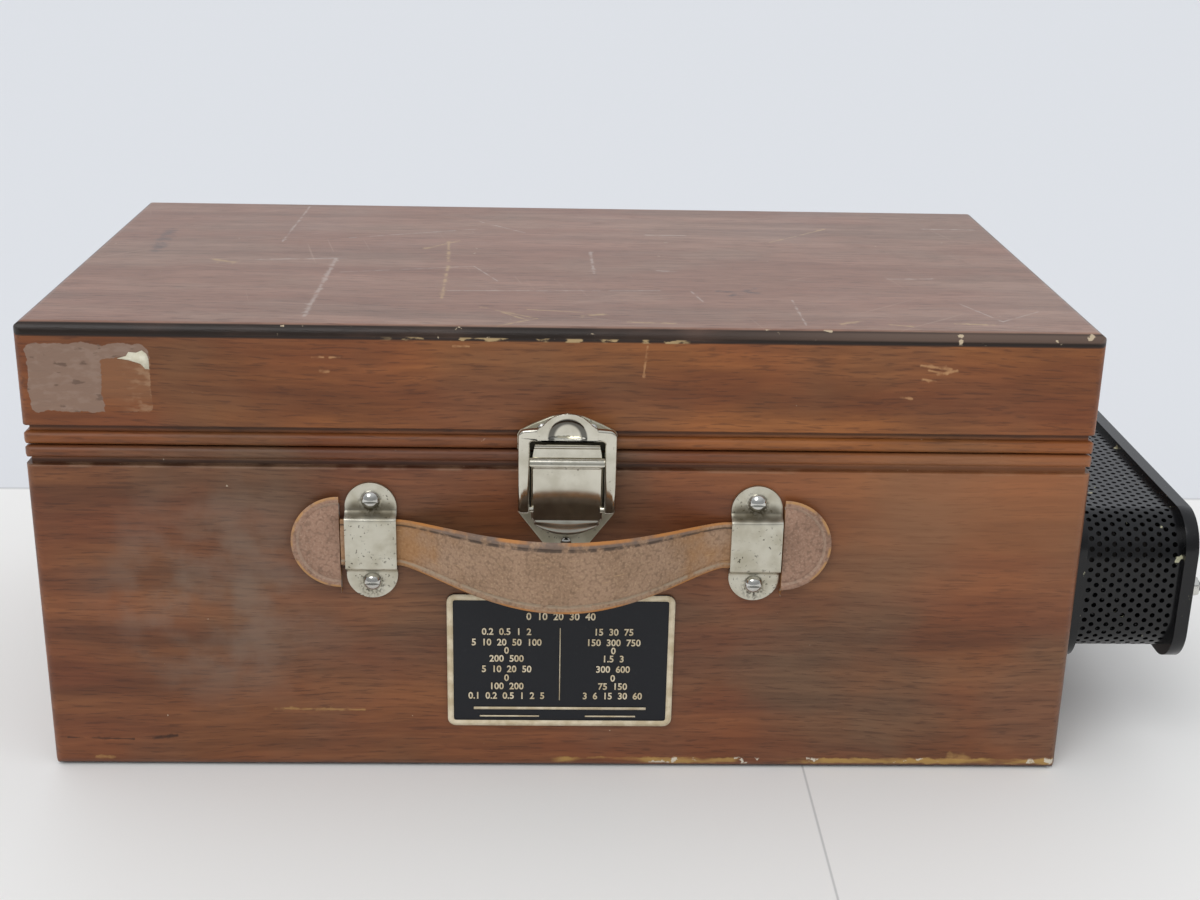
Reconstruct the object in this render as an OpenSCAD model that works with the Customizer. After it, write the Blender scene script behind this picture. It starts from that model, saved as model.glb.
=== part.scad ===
// Portable multirange meter in a hinged wooden case, with a perforated resistor cage on its right side.
// Millimetres. The origin is the centre of the underside; X runs right, Y runs to the back, Z runs up.

/* [Case] */
// Width over the side boards
case_w = 343; // [330:1:400]
// Depth over the front and back boards
case_d = 187; // [184:1:230]
// Height of the closed case
case_h = 156; // [150:1:175]
// Height of the seam between the case and its lid
seam_z = 115.5; // [112:0.5:120]
// Open gap at the seam
seam_gap = 0.4; // [0.3:0.1:0.8]
// Thickness of the boards
board_t = 10; // [8:0.5:11]
// Thickness of the lid's top board
top_t = 4; // [4:0.5:8]
// Thickness of the bottom board
bottom_t = 6; // [4:0.5:10]
// Radius of the rounded outer edges
edge_r = 3.5; // [2:0.25:3.75]

/* [Bead moulding] */
// Radius of the bead on the lid's rim
lid_bead_r = 2.2; // [1.5:0.1:2.6]
// Radius of the bead on the case's rim
case_bead_r = 2.05; // [1.5:0.1:2.6]
// Width of the groove beside each bead
quirk_w = 2.1; // [1:0.1:3]
// Radius of the board's edge at the groove
arris_r = 0.6; // [0.3:0.1:1]

/* [Hinges] */
// Length of a hinge along the seam
hinge_w = 50.8; // [40:0.1:64]
// Distance from the end of the case to the middle of a hinge
hinge_inset = 65; // [50:1:80]
// Thickness of a hinge leaf
leaf_t = 1; // [0.8:0.1:1.4]
// Radius of the hinge knuckles
knuckle_r = 2.6; // [2.3:0.1:3.2]
// Radius of the hinge pin
hinge_pin_r = 1.4; // [1:0.1:1.6]
// Number of knuckles on a hinge
knuckles = 5; // [3:2:5]

/* [Latch] */
// Middle of the latch, right of the case's middle
latch_x = 1.1; // [-4:0.1:4]
// Width of the base plate and the strike plate
latch_w = 31.4; // [30:0.1:36]
// Thickness of the latch's sheet metal
latch_t = 1; // [0.8:0.1:1.2]
// Width of the lever
lever_w = 22.6; // [20:0.1:23]
// Height of the lever below its pivot
lever_drop = 19; // [18:0.5:24]
// Distance from the case's face to the lever's outer face
lever_out = 6; // [5.5:0.1:7]
// Radius of the roll round the lever's pivot
lever_roll_r = 2; // [1.7:0.1:2.2]
// Radius of the lever's pivot pin
lever_pin_r = 0.9; // [0.6:0.1:1.1]
// Distance from the lever's pivot down to the loop's pivot
loop_pivot_drop = 15.2; // [14:0.1:16.2]
// Width of a leg of the loop
loop_leg_w = 3.9; // [3:0.1:4.2]
// Width over the loop's legs
loop_over = 32.4; // [31.6:0.1:33]
// Height of the loop's shoulders above the seam
loop_rise = 9.1; // [8:0.1:9.6]
// Radius of the loop's thumb tab
thumb_r = 6.4; // [5:0.1:7]
// Height of the thumb tab above the loop's bar
thumb_h = 7.2; // [7:0.1:9]
// Lean of the thumb tab away from the lid, in degrees
thumb_lean = 18; // [5:1:30]

/* [Handle] */
// Middle of the handle, right of the case's middle
handle_x = 0.5; // [-4:0.1:4]
// Height of the handle's middle
handle_z = 84.3; // [80:0.1:86]
// Distance between the middles of the two metal loops
loop_spacing = 124.9; // [110:0.1:136]
// Width of a metal loop
loop_w = 16.6; // [14:0.1:20]
// Height of a metal loop over its round feet
loop_h = 40.2; // [39:0.1:46]
// Thickness of a metal loop
loop_t = 1.2; // [1:0.1:1.6]
// Height of a loop's raised face
loop_face_h = 17.6; // [17.4:0.1:18]
// Run of the slanted riser beside the raised face
loop_riser = 2.1; // [1.8:0.1:2.3]
// Distance between the two screws of a loop
loop_screw_gap = 28.6; // [28.2:0.1:31]
// Radius of a round screw head
screw_head_r = 3.2; // [2.5:0.1:3.4]
// Thickness of the leather
strap_t = 3; // [2:0.1:3.5]
// Height of the strap in its loops
strap_end_h = 16.2; // [14:0.1:16.6]
// Height of the strap at its middle
strap_mid_h = 24.4; // [18:0.1:30]
// Distance that the strap bows out from the case
strap_bow = 22; // [14:0.5:30]
// Distance that the strap's middle hangs below its loops
strap_droop = 2.5; // [0:0.1:5]
// Radius of the half-moon ends
moon_r = 15.8; // [12:0.1:17]
// Room for a half-moon beside its loop
moon_gap = 1.2; // [1:0.1:2]
// Place of the strap in its loops, right of their middle
strap_shift = -0.6; // [-0.6:0.1:0.6]

/* [Name plate] */
// Width of the plate
plate_w = 75.5; // [60:0.5:90]
// Height of the plate
plate_h = 48.5; // [30:0.5:54]
// Thickness of the plate
plate_t = 0.8; // [0.6:0.1:1.2]
// Height of the plate's lower edge
plate_z = 16.8; // [10:0.1:20]
// Middle of the plate, right of the case's middle
plate_x = -0.2; // [-5:0.1:5]
// Width of the plate's raised rim
plate_rim = 2; // [1.5:0.1:4]
// Corner radius of the plate
plate_r = 2.8; // [2:0.1:5]
// Depth of the sunk field inside the rim
plate_sink = 0.2; // [0.1:0.05:0.4]

/* [Resistor cage] */
// Reach of the cage out from the case's side
cage_out = 42.2; // [36:0.2:60]
// Thickness of the two end plates
cage_plate_t = 4.5; // [3:0.1:6]
// Height of the end plates
cage_h = 54.8; // [48:0.2:64]
// Depth of the end plates
cage_d = 171; // [140:1:178]
// Height of the end plates' lower edge
cage_z = 35.3; // [30:0.1:40]
// Corner radius of the end plates
cage_r = 13.5; // [6:0.5:16]
// Distance that the end plates stand past the sleeve
cage_lip = 2.1; // [1.5:0.1:4]
// Corner radius of the sleeve
sleeve_r = 16; // [10:0.5:18]
// Thickness of the perforated sheet
sleeve_t = 0.9; // [0.7:0.1:1.2]
// Diameter of the perforations
hole_d = 1.75; // [1.2:0.05:1.75]
// Distance between holes of a row, across the sleeve
hole_pitch_x = 5.15; // [5:0.05:8]
// Distance between holes of a column, round the sleeve
hole_pitch_s = 3.58; // [3.58:0.02:6]
// Number of tie rods
rods = 4; // [2:1:4]
// Radius of a tie rod
rod_r = 2; // [1.5:0.1:2.4]
// Distance from the plates' ends to the first tie rod
rod_inset = 8; // [7:0.5:20]
// Radius of a wound resistor spool
spool_r = 15; // [10:0.5:17]

/* [Panel] */
// Depth of the panel's face below the seam
panel_drop = 8; // [7:0.5:12]
// Thickness of the panel
panel_t = 6.4; // [5:0.1:8]
// Height and depth of the strips that carry the panel
cleat = 10; // [8:0.5:12]
// Radius of the panel screws' heads
panel_screw_r = 3.2; // [2.5:0.1:3.5]

/* [Meter] */
// Width of the meter's cover
meter_w = 150; // [140:1:156]
// Depth of the meter's cover
meter_d = 136; // [128:1:140]
// Height of the meter's cover above the panel
meter_h = 10; // [9:0.1:12]
// Distance from the case's inner left wall to the cover
meter_inset = 10.5; // [4:0.5:12]
// Wall of the cover and of the cup under it
meter_wall = 3; // [2.5:0.1:4]
// Depth of the cup below the panel's face
cup_depth = 49; // [46:0.5:56]
// Length of the pointer from its pivot
pointer_len = 78; // [70:1:82]
// Radius of the bore between the pole pieces
pole_bore_r = 14; // [13.8:0.1:16]
// Outer radius of the pole pieces
pole_r = 30; // [26:0.5:34]
// Outer radius of the magnet
magnet_r = 46; // [42:0.5:50]
// Radius of the fixed iron core
core_r = 10.6; // [9:0.1:10.8]
// Height of the magnet, the pole pieces and the core
pole_h = 18; // [14:0.5:20]
// Swing of the pointer, in degrees
pointer_swing = 90; // [60:1:90]
// Turns of a hairspring
hair_turns = 4; // [3:1:5]

/* [Switches and posts] */
// Distance from the case's inner right wall to the middle of the right switch
switch_inset = 43.5; // [40:0.5:50]
// Distance between the two switches
switch_gap = 66; // [64:0.5:70]
// Radius of a knob's skirt
knob_r = 19; // [15:0.5:24]
// Height of a knob
knob_h = 19; // [14:0.5:24]
// Radius of a switch shaft
shaft_r = 3.175; // [2.5:0.025:3.5]
// Radius of a switch deck
deck_r = 31; // [28:0.5:31.5]
// Contacts on a switch deck
contacts = 14; // [6:1:14]
// Distance between the binding posts
post_gap = 42; // [36:1:45]
// Radius of a binding post's stud
stud_r = 2.5; // [2:0.1:3]
// Lift of a binding post's cap when it is unscrewed
cap_lift = 5; // [3:0.5:6]

/* [Hidden] */
$fn = 48;

// Clearances: running fits on pins and shafts, free room between pieces that move, and overrun of cuts
run_fit = 0.05;
free_gap = 0.3;
cut = 1;

// Case and lid
case_top = seam_z - seam_gap / 2;
lid_low = seam_z + seam_gap / 2;
lid_frame_top = case_h - top_t;
inner_w = case_w - 2 * board_t;
inner_d = case_d - 2 * board_t;
front_y = -case_d / 2;

// Wood screws
screw_r = 1.6;
screw_deep = board_t - 2;
slot_w = 1;
slot_deep = 1;
head_dome = 1.06;
head_sink = 0.35;
slot_place = 0.71;

// Hinges
hinge_axis_y = case_d / 2 + knuckle_r + free_gap;
hinge_xs = [-1, 1] * (case_w / 2 - hinge_inset);
knuckle_w = hinge_w / knuckles;
hinge_screw_y = case_d / 2 - board_t / 2;
hinge_screw_gap = hinge_w / 3.2;
hinge_screw_r = 1.3;
hinge_head_r = 2.3;
hinge_screw_deep = 12;

// Latch, measured outwards from the front face and upwards from the underside
lever_rim_gap = 0.7;
lever_axis_z = case_top - lever_roll_r - lever_rim_gap;
lever_axis_out = lever_out - lever_roll_r;
loop_axis_z = lever_axis_z - loop_pivot_drop;
loop_proud = 0.5;
loop_out = lever_out + loop_proud;
loop_deep = 2.5;
loop_pin_in = 0.2;
loop_axis_out = loop_out - loop_deep / 2 - loop_pin_in;
loop_pin_r = 0.8;
loop_bar_h = 3.2;
loop_corner_r = 2;
loop_top = seam_z + loop_rise;
loop_bar_z = loop_top - loop_bar_h;
thumb_foot = 1;
hook_room = 2.4;
hook_out = loop_out - loop_deep - free_gap;
hook_w = 21.8;
hook_low = lever_axis_z + lever_roll_r + free_gap;
hook_top = loop_bar_z - hook_room;
hook_arm_z = lid_low + 0.4;
latch_shoulder_z = lever_axis_z - 17.7;
latch_tip_z = lever_axis_z - 31.4;
latch_tip_w = 10.8;
ear_w = 8;
lever_wall_low = 1.5;
lever_wall_gap = 1.2;
lip_r = 14;
lip_h = 4.4;
lip_lean = 20;
latch_screw_xs = [-8, 8];
latch_screw_z = lever_axis_z - 9;
tip_screw_z = latch_tip_z + 3.2;
strike_screw_z = seam_z + 8;
strike_shoulder_z = loop_top - 2;
strike_top = loop_top + 4.6;
rivet_head_r = 1.8;

// Handle
loop_xs = [handle_x - loop_spacing / 2, handle_x + loop_spacing / 2];
loop_screw_zs = [handle_z - loop_screw_gap / 2, handle_z + loop_screw_gap / 2];
loop_screw_fit = 0.2;
loop_inner_out = strap_t + 2 * free_gap;
loop_outer_out = loop_inner_out + loop_t;
strap_mid_out = free_gap + strap_t / 2;
strap_flat = 1.6;
strap_a = loop_spacing / 2 - loop_w / 2 - strap_flat;
strap_b = loop_spacing / 2 + loop_w / 2 + moon_gap;
strap_power = 1.4;
strap_edge = 0.6;
moon_rings = 9;
bow_rings = 28;

// Cage
cage_mid_z = cage_z + cage_h / 2;
cage_x0 = case_w / 2;
sleeve_len = cage_out - 2 * cage_plate_t;
sleeve_w = cage_d - 2 * cage_lip;
sleeve_h = cage_h - 2 * cage_lip;
hole_cols = floor((sleeve_len - hole_d) / (hole_pitch_x / 2));
rod_ys = [for (i = [0:rods - 1]) -cage_d / 2 + rod_inset + i * (cage_d - 2 * rod_inset) / (rods - 1)];
nut_h = 4.2;
nut_r = 3.6;
rod_tail = nut_h + 0.5;
spigot_r = 3;
spigot_l = 2;
spool_flange = 2;
spool_sections = 4;
spool_wire = 3;

// Panel
panel_top = case_top - panel_drop;
panel_low = panel_top - panel_t;
panel_fit = 0.4;
panel_screw_xs = [for (i = [-2:2]) i * (inner_w / 2 - cleat) / 2.2];
panel_screw_y = inner_d / 2 - cleat / 2;

// Meter, on its own centre line
meter_x = -inner_w / 2 + meter_inset + meter_w / 2;
meter_y = 2;
pivot_back = 36;
pivot_y = meter_y - pivot_back;
cover_r = 10;
cup_margin = 9.3;
cup_w = meter_w - 2 * cup_margin;
cup_d = meter_d - 2 * cup_margin;
cup_r = 8;
cup_rim_z = panel_top - 2.8;
cup_flange_t = 3;
cup_flange = 4;
cup_low = panel_top - cup_depth;
dial_t = 1;
dial_cut_w = 66;
dial_cut_d = 52;
cover_top = panel_top + meter_h;
glass_t = 2;
window_w = meter_w - 22;
window_y0 = meter_y - 20;
window_y1 = meter_y + meter_d / 2 - 12;
window_r = 6;
glass_lap = 4;
pole_top = cup_rim_z - 2.5;
pole_low = pole_top - pole_h;
pole_slot = 12;
pole_reach = 19;
carrier_w = 6;
boss_x = 22;
boss_y = 12;
boss_r = 4;
bridge_post_xs = [-20, 20];
bridge_post_r = 3;
coil_t = 2;
coil_w = 5;
coil_in_r = core_r + 0.5;
coil_out_r = coil_in_r + coil_t;
coil_room = 1;
staff_r = 0.8;
bridge_t = 1.6;
bridge_w = 8;
bridge_z = cup_rim_z + 6;
foot_bridge_z = pole_low - 8;
pointer_z = cup_rim_z + 3.9;
pointer_t = 0.6;
hair_in_r = 2;
hair_out_r = 7;
hair_t = 0.25;
hair_h = 1;
hair_gap = 0.6;
hair_step = 18;
hub_r = 2.2;
hub_h = 1.4;
hair_high = pole_top + coil_room + coil_t + hair_gap;
hair_low = pole_low - coil_room - coil_t - hair_gap - hair_h;
zero_r = 4;
zero_proud = 0.8;
zero_crank_y = 1.5;
zero_y = meter_y - meter_d / 2 + 11;

// Switches and posts
switch_y = 20;
switch_xs = [inner_w / 2 - switch_inset - switch_gap, inner_w / 2 - switch_inset];
bush_r = 4.75;
bush_nut_h = 2;
bush_nut_r = 7;
shoulder_r = 8;
deck_t = 4;
deck_top = panel_low - 10;
deck_low = deck_top - deck_t;
contact_h = 2;
contact_r = 2;
contact_ring = deck_r - 7;
contact_arc = 300;
contact_first = 120;
contact_step = contact_arc / contacts;
wiper_t = 1.6;
wiper_z = deck_low - contact_h - free_gap - wiper_t;
knob_z = panel_top + bush_nut_h + 0.6;
post_inset = 26;
post_y = -inner_d / 2 + post_inset;
post_mid_x = (switch_xs[0] + switch_xs[1]) / 2;
collar_r = 6;
collar_h = 4;
cap_r = 7;
cap_h = 11;
cap_z = panel_top + collar_h + free_gap;
stud_tail = 10;
stud_nut_h = 4;
stud_short = 4;
wire_hole_r = 1.2;
wire_hole_up = 2.2;
converter_size = [46, 24, 22];
converter_y = post_y + 20;
converter_notch = 8;
small_spool_r = 8;
small_spool_h = 18;
small_spools = 6;
small_spool_gap = 22;
small_spool_flange = 2;
small_spool_y = inner_d / 2 - cleat - small_spool_r - small_spool_flange;
small_spool_bore = 1.5;

// Colours, as the photograph shows them
wood = "#6b4330";
wood_top = "#7b5b4e";
nickel = "#b9b4a6";
brass = "#b59a5a";
leather = "#8a6547";
black = "#1c1c1e";
ivory = "#efe9d8";
phenolic = "#5a3a22";
iron = "#5d6064";
copper = "#b06a3a";

// Plain shapes

// A rounded rectangle about the origin
module rounded(w, h, r) {
  square([w, h - 2 * r], center = true);
  square([w - 2 * r, h], center = true);
  for (i = [-1, 1], j = [-1, 1])
    translate([i * (w / 2 - r), j * (h / 2 - r)]) circle(r);
}

// What is cut from a square corner at the origin to round it
module corner_waste(r) {
  difference() {
    translate([-cut, -cut]) square(r + cut);
    translate([r, r]) circle(r);
  }
}

// A profile in Y and Z drawn out along X, and one in X and Z drawn out along Y
module along_x(len) { rotate([90, 0, 90]) linear_extrude(len, center = true) children(); }
module along_y(len) { rotate([90, 0, 0]) linear_extrude(len, center = true) children(); }

// A bar along X, about the origin
module bar_x(r, len) { rotate([0, 90, 0]) cylinder(r = r, h = len, center = true); }

// An outline in X and Z that stands on the front face, between two distances out from it
module front_sheet(low, high) {
  translate([0, front_y - low, 0]) rotate([90, 0, 0]) linear_extrude(high - low) children();
}

// A profile of distance out and height, drawn out along X on the front face
module front_profile(len) { translate([0, front_y, 0]) mirror([0, 1, 0]) along_x(len) children(); }

// A round bar along X on the front face, at a distance out and a height
module front_bar(out, z, r, len) { translate([0, front_y - out, z]) bar_x(r, len); }

// A shank or a bore square to the front face, from one distance out to another
module front_shank(x, z, r, low, high) {
  translate([x, front_y - low, z]) rotate([90, 0, 0]) cylinder(r = r, h = high - low);
}

// A round-headed slotted wood screw on the front face
module round_screw(x, z, out, head_r) {
  difference() {
    union() {
      front_shank(x, z, screw_r, -screw_deep, out);
      intersection() {
        translate([x, front_y - out + head_sink * head_r, z]) sphere(r = head_r * head_dome);
        front_shank(x, z, head_r, out, out + head_r);
      }
    }
    translate([x, front_y - out - slot_place * head_r, z])
      cube([2 * head_r + cut, 2 * slot_deep, slot_w], center = true);
  }
}

// Case boards: a moulded profile, mitred at both ends and rounded at its outer corners

module case_profile() {
  difference() {
    union() {
      square([board_t, case_top - 2 * case_bead_r - quirk_w]);
      translate([case_bead_r, 0]) square([board_t - case_bead_r, case_top]);
      translate([case_bead_r, case_top - case_bead_r]) circle(case_bead_r);
    }
    corner_waste(edge_r);
    translate([0, case_top - 2 * case_bead_r - quirk_w]) mirror([0, 1]) corner_waste(arris_r);
  }
}

module lid_profile() {
  lid_face_z = lid_low + 2 * lid_bead_r + quirk_w;
  difference() {
    union() {
      translate([0, lid_face_z]) square([board_t, lid_frame_top - lid_face_z]);
      translate([lid_bead_r, lid_low]) square([board_t - lid_bead_r, lid_frame_top - lid_low]);
      translate([lid_bead_r, lid_low + lid_bead_r]) circle(lid_bead_r);
    }
    translate([0, lid_face_z]) corner_waste(arris_r);
  }
}

module mitred_plan(len, half) {
  intersection() {
    rounded(len, 2 * half, edge_r);
    polygon([
      [-len / 2, -half], [len / 2, -half],
      [len / 2 - board_t, -half + board_t], [-len / 2 + board_t, -half + board_t],
    ]);
  }
}

module case_board(len, half) {
  intersection() {
    translate([0, -half, 0]) along_x(len) case_profile();
    linear_extrude(case_h) mitred_plan(len, half);
    translate([0, 0, case_h / 2]) along_y(2 * half) rounded(len, case_h, edge_r);
  }
}

module lid_board(len, half) {
  intersection() {
    translate([0, -half, 0]) along_x(len) lid_profile();
    linear_extrude(case_h) mitred_plan(len, half);
  }
}

// Room for the hinge leaves in the back boards, and for their screws
module hinge_mortises(low, high) {
  for (x = hinge_xs)
    translate([x - hinge_w / 2, case_d / 2 - board_t - cut, low])
      cube([hinge_w, board_t + 2 * cut, high - low]);
}

module hinge_screw_places() {
  for (x = hinge_xs, i = [-1:1]) translate([x + i * hinge_screw_gap, hinge_screw_y, 0]) children();
}

module front_screw_holes() {
  for (x = loop_xs, z = loop_screw_zs) front_shank(x, z, screw_r, -screw_deep, cut);
  for (x = latch_screw_xs) front_shank(latch_x + x, latch_screw_z, screw_r, -screw_deep, cut);
  front_shank(latch_x, tip_screw_z, screw_r, -screw_deep, cut);
}

module front_board() {
  color(wood) difference() {
    case_board(case_w, case_d / 2);
    front_screw_holes();
  }
}

module back_board() {
  color(wood) difference() {
    rotate([0, 0, 180]) case_board(case_w, case_d / 2);
    hinge_mortises(case_top - leaf_t, case_top + cut);
    hinge_screw_places() translate([0, 0, case_top - hinge_screw_deep])
      cylinder(r = hinge_screw_r, h = hinge_screw_deep + cut);
  }
}

module left_board() { color(wood) rotate([0, 0, -90]) case_board(case_d, case_w / 2); }

module right_board() {
  color(wood) difference() {
    rotate([0, 0, 90]) case_board(case_d, case_w / 2);
    rod_holes();
  }
}

module bottom_board() {
  color(wood) translate([0, 0, bottom_t / 2]) cube([inner_w, inner_d, bottom_t], center = true);
}

// Lid: a mitred frame under a top board whose edges are rounded all round

module lid_top() {
  color(wood_top) intersection() {
    translate([0, 0, lid_frame_top]) linear_extrude(top_t) rounded(case_w, case_d, edge_r);
    translate([0, 0, case_h / 2]) along_x(case_w) rounded(case_d, case_h, edge_r);
    translate([0, 0, case_h / 2]) along_y(case_d) rounded(case_w, case_h, edge_r);
  }
}

module lid_front() {
  color(wood) difference() {
    lid_board(case_w, case_d / 2);
    for (x = latch_screw_xs) front_shank(latch_x + x, strike_screw_z, screw_r, -screw_deep, cut);
  }
}

module lid_back() {
  color(wood) difference() {
    rotate([0, 0, 180]) lid_board(case_w, case_d / 2);
    hinge_mortises(lid_low - cut, lid_low + leaf_t);
    hinge_screw_places() translate([0, 0, lid_low - cut])
      cylinder(r = hinge_screw_r, h = hinge_screw_deep + cut);
  }
}

module lid_left() { color(wood) rotate([0, 0, -90]) lid_board(case_d, case_w / 2); }
module lid_right() { color(wood) rotate([0, 0, 90]) lid_board(case_d, case_w / 2); }

// Butt hinges, let into the back rims with their knuckles behind the case

module knuckle_x(i) { translate([(i - (knuckles - 1) / 2) * knuckle_w, 0, 0]) children(); }

module hinge_leaf(low, first, fit) {
  difference() {
    union() {
      translate([-hinge_w / 2, case_d / 2 - board_t, low]) cube([hinge_w, board_t, leaf_t]);
      for (i = [first:2:knuckles - 1]) knuckle_x(i) {
        w = knuckle_w - free_gap;
        translate([-w / 2, case_d / 2 - cut, low]) cube([w, hinge_axis_y - case_d / 2 + cut, leaf_t]);
        translate([0, hinge_axis_y, seam_z]) bar_x(knuckle_r, w);
      }
    }
    translate([0, hinge_axis_y, seam_z]) bar_x(hinge_pin_r + fit, hinge_w + cut);
  }
}

// A countersink and its flush screw; down is -1 in the case and 1 in the lid
module flush_head(z, down) {
  translate([0, 0, z]) mirror([0, 0, down > 0 ? 0 : 1])
    cylinder(r1 = hinge_head_r, r2 = hinge_screw_r, h = leaf_t);
}

module flush_screw(z, down) {
  flush_head(z, down);
  translate([0, 0, down > 0 ? z + leaf_t : z - hinge_screw_deep])
    cylinder(r = hinge_screw_r, h = hinge_screw_deep - leaf_t);
}

module hinge_case_leaves() {
  color(brass) difference() {
    for (x = hinge_xs) translate([x, 0, 0]) hinge_leaf(case_top - leaf_t, 0, 0);
    hinge_screw_places() flush_head(case_top, -1);
  }
}

module hinge_lid_leaves() {
  color(brass) difference() {
    for (x = hinge_xs) translate([x, 0, 0]) hinge_leaf(lid_low, 1, run_fit);
    hinge_screw_places() flush_head(lid_low, 1);
  }
}

module hinge_pins() {
  color(nickel) for (x = hinge_xs) translate([x, hinge_axis_y, seam_z]) bar_x(hinge_pin_r, hinge_w);
}

module hinge_case_screws() { color(brass) hinge_screw_places() flush_screw(case_top, -1); }

module lid_screws() {
  color(brass) hinge_screw_places() flush_screw(lid_low, 1);
  color(nickel) for (x = latch_screw_xs) round_screw(latch_x + x, strike_screw_z, latch_t, rivet_head_r);
}

// Draw latch: a strike with a hook on the lid, and a lever with a loop on the case

module latch_base_outline() {
  polygon([
    [-latch_w / 2, case_top], [latch_w / 2, case_top], [latch_w / 2, latch_shoulder_z],
    [latch_tip_w / 2, latch_tip_z], [-latch_tip_w / 2, latch_tip_z], [-latch_w / 2, latch_shoulder_z],
  ]);
}

module latch_base() {
  color(nickel) difference() {
    union() {
      translate([latch_x, 0, 0]) front_sheet(0, latch_t) latch_base_outline();
      translate([latch_x, 0, 0]) front_bar(lever_axis_out, lever_axis_z, lever_roll_r, ear_w);
      translate([latch_x, 0, 0]) front_profile(ear_w)
        translate([0, lever_axis_z - lever_roll_r]) square([lever_axis_out, lever_roll_r]);
    }
    translate([latch_x, 0, 0]) front_bar(lever_axis_out, lever_axis_z, lever_pin_r, ear_w + cut);
    for (x = latch_screw_xs) front_shank(latch_x + x, latch_screw_z, screw_r, -cut, latch_t + cut);
    front_shank(latch_x, tip_screw_z, screw_r, -cut, latch_t + cut);
  }
}

module latch_strike() {
  color(nickel) difference() {
    translate([latch_x, 0, 0]) {
      front_sheet(0, latch_t) polygon([
        [-latch_w / 2, lid_low], [latch_w / 2, lid_low], [latch_w / 2, strike_shoulder_z],
        [thumb_r, strike_top], [-thumb_r, strike_top], [-latch_w / 2, strike_shoulder_z],
      ]);
      front_profile(hook_w) translate([0, hook_arm_z]) square([hook_out, latch_t]);
      front_profile(hook_w) hook_face();
    }
    for (x = latch_screw_xs) front_shank(latch_x + x, strike_screw_z, screw_r, -cut, latch_t + cut);
  }
}

// The upturned face of the hook, rounded at its foot and its tip
module hook_face() {
  difference() {
    translate([hook_out - latch_t, hook_low]) square([latch_t, hook_top - hook_low]);
    translate([hook_out, hook_low]) mirror([1, 0]) corner_waste(latch_t * 0.8);
    translate([hook_out, hook_top]) mirror([1, 0]) mirror([0, 1]) corner_waste(latch_t * 0.4);
  }
}

module latch_lever() {
  roll_w = (lever_w - ear_w) / 2 - free_gap;
  face_top = lever_axis_z - lever_roll_r - free_gap;
  low = lever_axis_z - lever_drop;
  color(nickel) translate([latch_x, 0, 0]) difference() {
    union() {
      for (s = [-1, 1]) translate([s * (lever_w - roll_w) / 2, 0, 0]) {
        front_bar(lever_axis_out, lever_axis_z, lever_roll_r, roll_w);
        front_profile(roll_w) translate([lever_axis_out, face_top - cut])
          square([lever_roll_r, lever_axis_z - face_top + cut]);
      }
      front_sheet(lever_out - latch_t, lever_out) translate([0, (face_top + low) / 2])
        square([lever_w, face_top - low], center = true);
      for (s = [-1, 1]) translate([s * (lever_w - latch_t) / 2, 0, 0]) front_profile(latch_t)
        translate([latch_t + lever_wall_gap, low + lever_wall_low])
          square([lever_out - latch_t - lever_wall_gap, face_top - low - lever_wall_low]);
      translate([0, front_y - lever_out, low]) rotate([-lip_lean, 0, 0])
        translate([0, -front_y + lever_out, -low])
          front_sheet(lever_out - latch_t, lever_out) finger_lip(low);
    }
    front_bar(lever_axis_out, lever_axis_z, lever_pin_r + run_fit, lever_w + cut);
    front_bar(loop_axis_out, loop_axis_z, loop_pin_r, lever_w + cut);
  }
}

// The round lip below the lever that a finger lifts
module finger_lip(z) {
  intersection() {
    translate([0, z + lip_r - lip_h]) circle(lip_r);
    translate([-lip_r, z - lip_h]) square([2 * lip_r, lip_h + free_gap]);
  }
}

module latch_loop() {
  leg_x = (loop_over - loop_leg_w) / 2;
  color(nickel) translate([latch_x, 0, 0]) difference() {
    union() {
      front_sheet(loop_out - loop_deep, loop_out) {
        for (s = [-1, 1]) translate([s * leg_x - loop_leg_w / 2, loop_axis_z])
          square([loop_leg_w, loop_bar_z - loop_axis_z]);
        difference() {
          translate([-loop_over / 2, loop_bar_z]) square([loop_over, loop_bar_h]);
          for (s = [0, 1]) mirror([s, 0]) translate([-loop_over / 2, loop_top]) mirror([0, 1])
            corner_waste(loop_corner_r);
        }
      }
      for (s = [-1, 1]) translate([s * leg_x, 0, 0])
        front_bar(loop_out - loop_deep / 2, loop_axis_z, loop_deep / 2, loop_leg_w);
      thumb_tab();
    }
    front_bar(loop_axis_out, loop_axis_z, loop_pin_r + run_fit, loop_over + cut);
  }
}

// The half-round tab on the loop's bar, leaning away from the lid
module thumb_tab() {
  translate([0, front_y - loop_out, loop_top - thumb_foot]) rotate([90 + thumb_lean, 0, 0])
    translate([0, 0, -latch_t]) linear_extrude(latch_t) {
      translate([0, thumb_h - thumb_r]) circle(thumb_r);
      translate([-thumb_r, -free_gap]) square([2 * thumb_r, thumb_h - thumb_r + free_gap]);
    }
}

module latch_hinge_pin() {
  color(nickel) translate([latch_x, 0, 0])
    front_bar(lever_axis_out, lever_axis_z, lever_pin_r, lever_w - free_gap);
}

module latch_loop_pins() {
  len = (loop_over - lever_w) / 2 + latch_t;
  color(nickel) for (s = [-1, 1]) translate([latch_x + s * (loop_over / 2 - len / 2), 0, 0])
    front_bar(loop_axis_out, loop_axis_z, loop_pin_r, len);
}

// Handle: a leather strap that bows out between two metal loops and ends in half-moons

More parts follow.
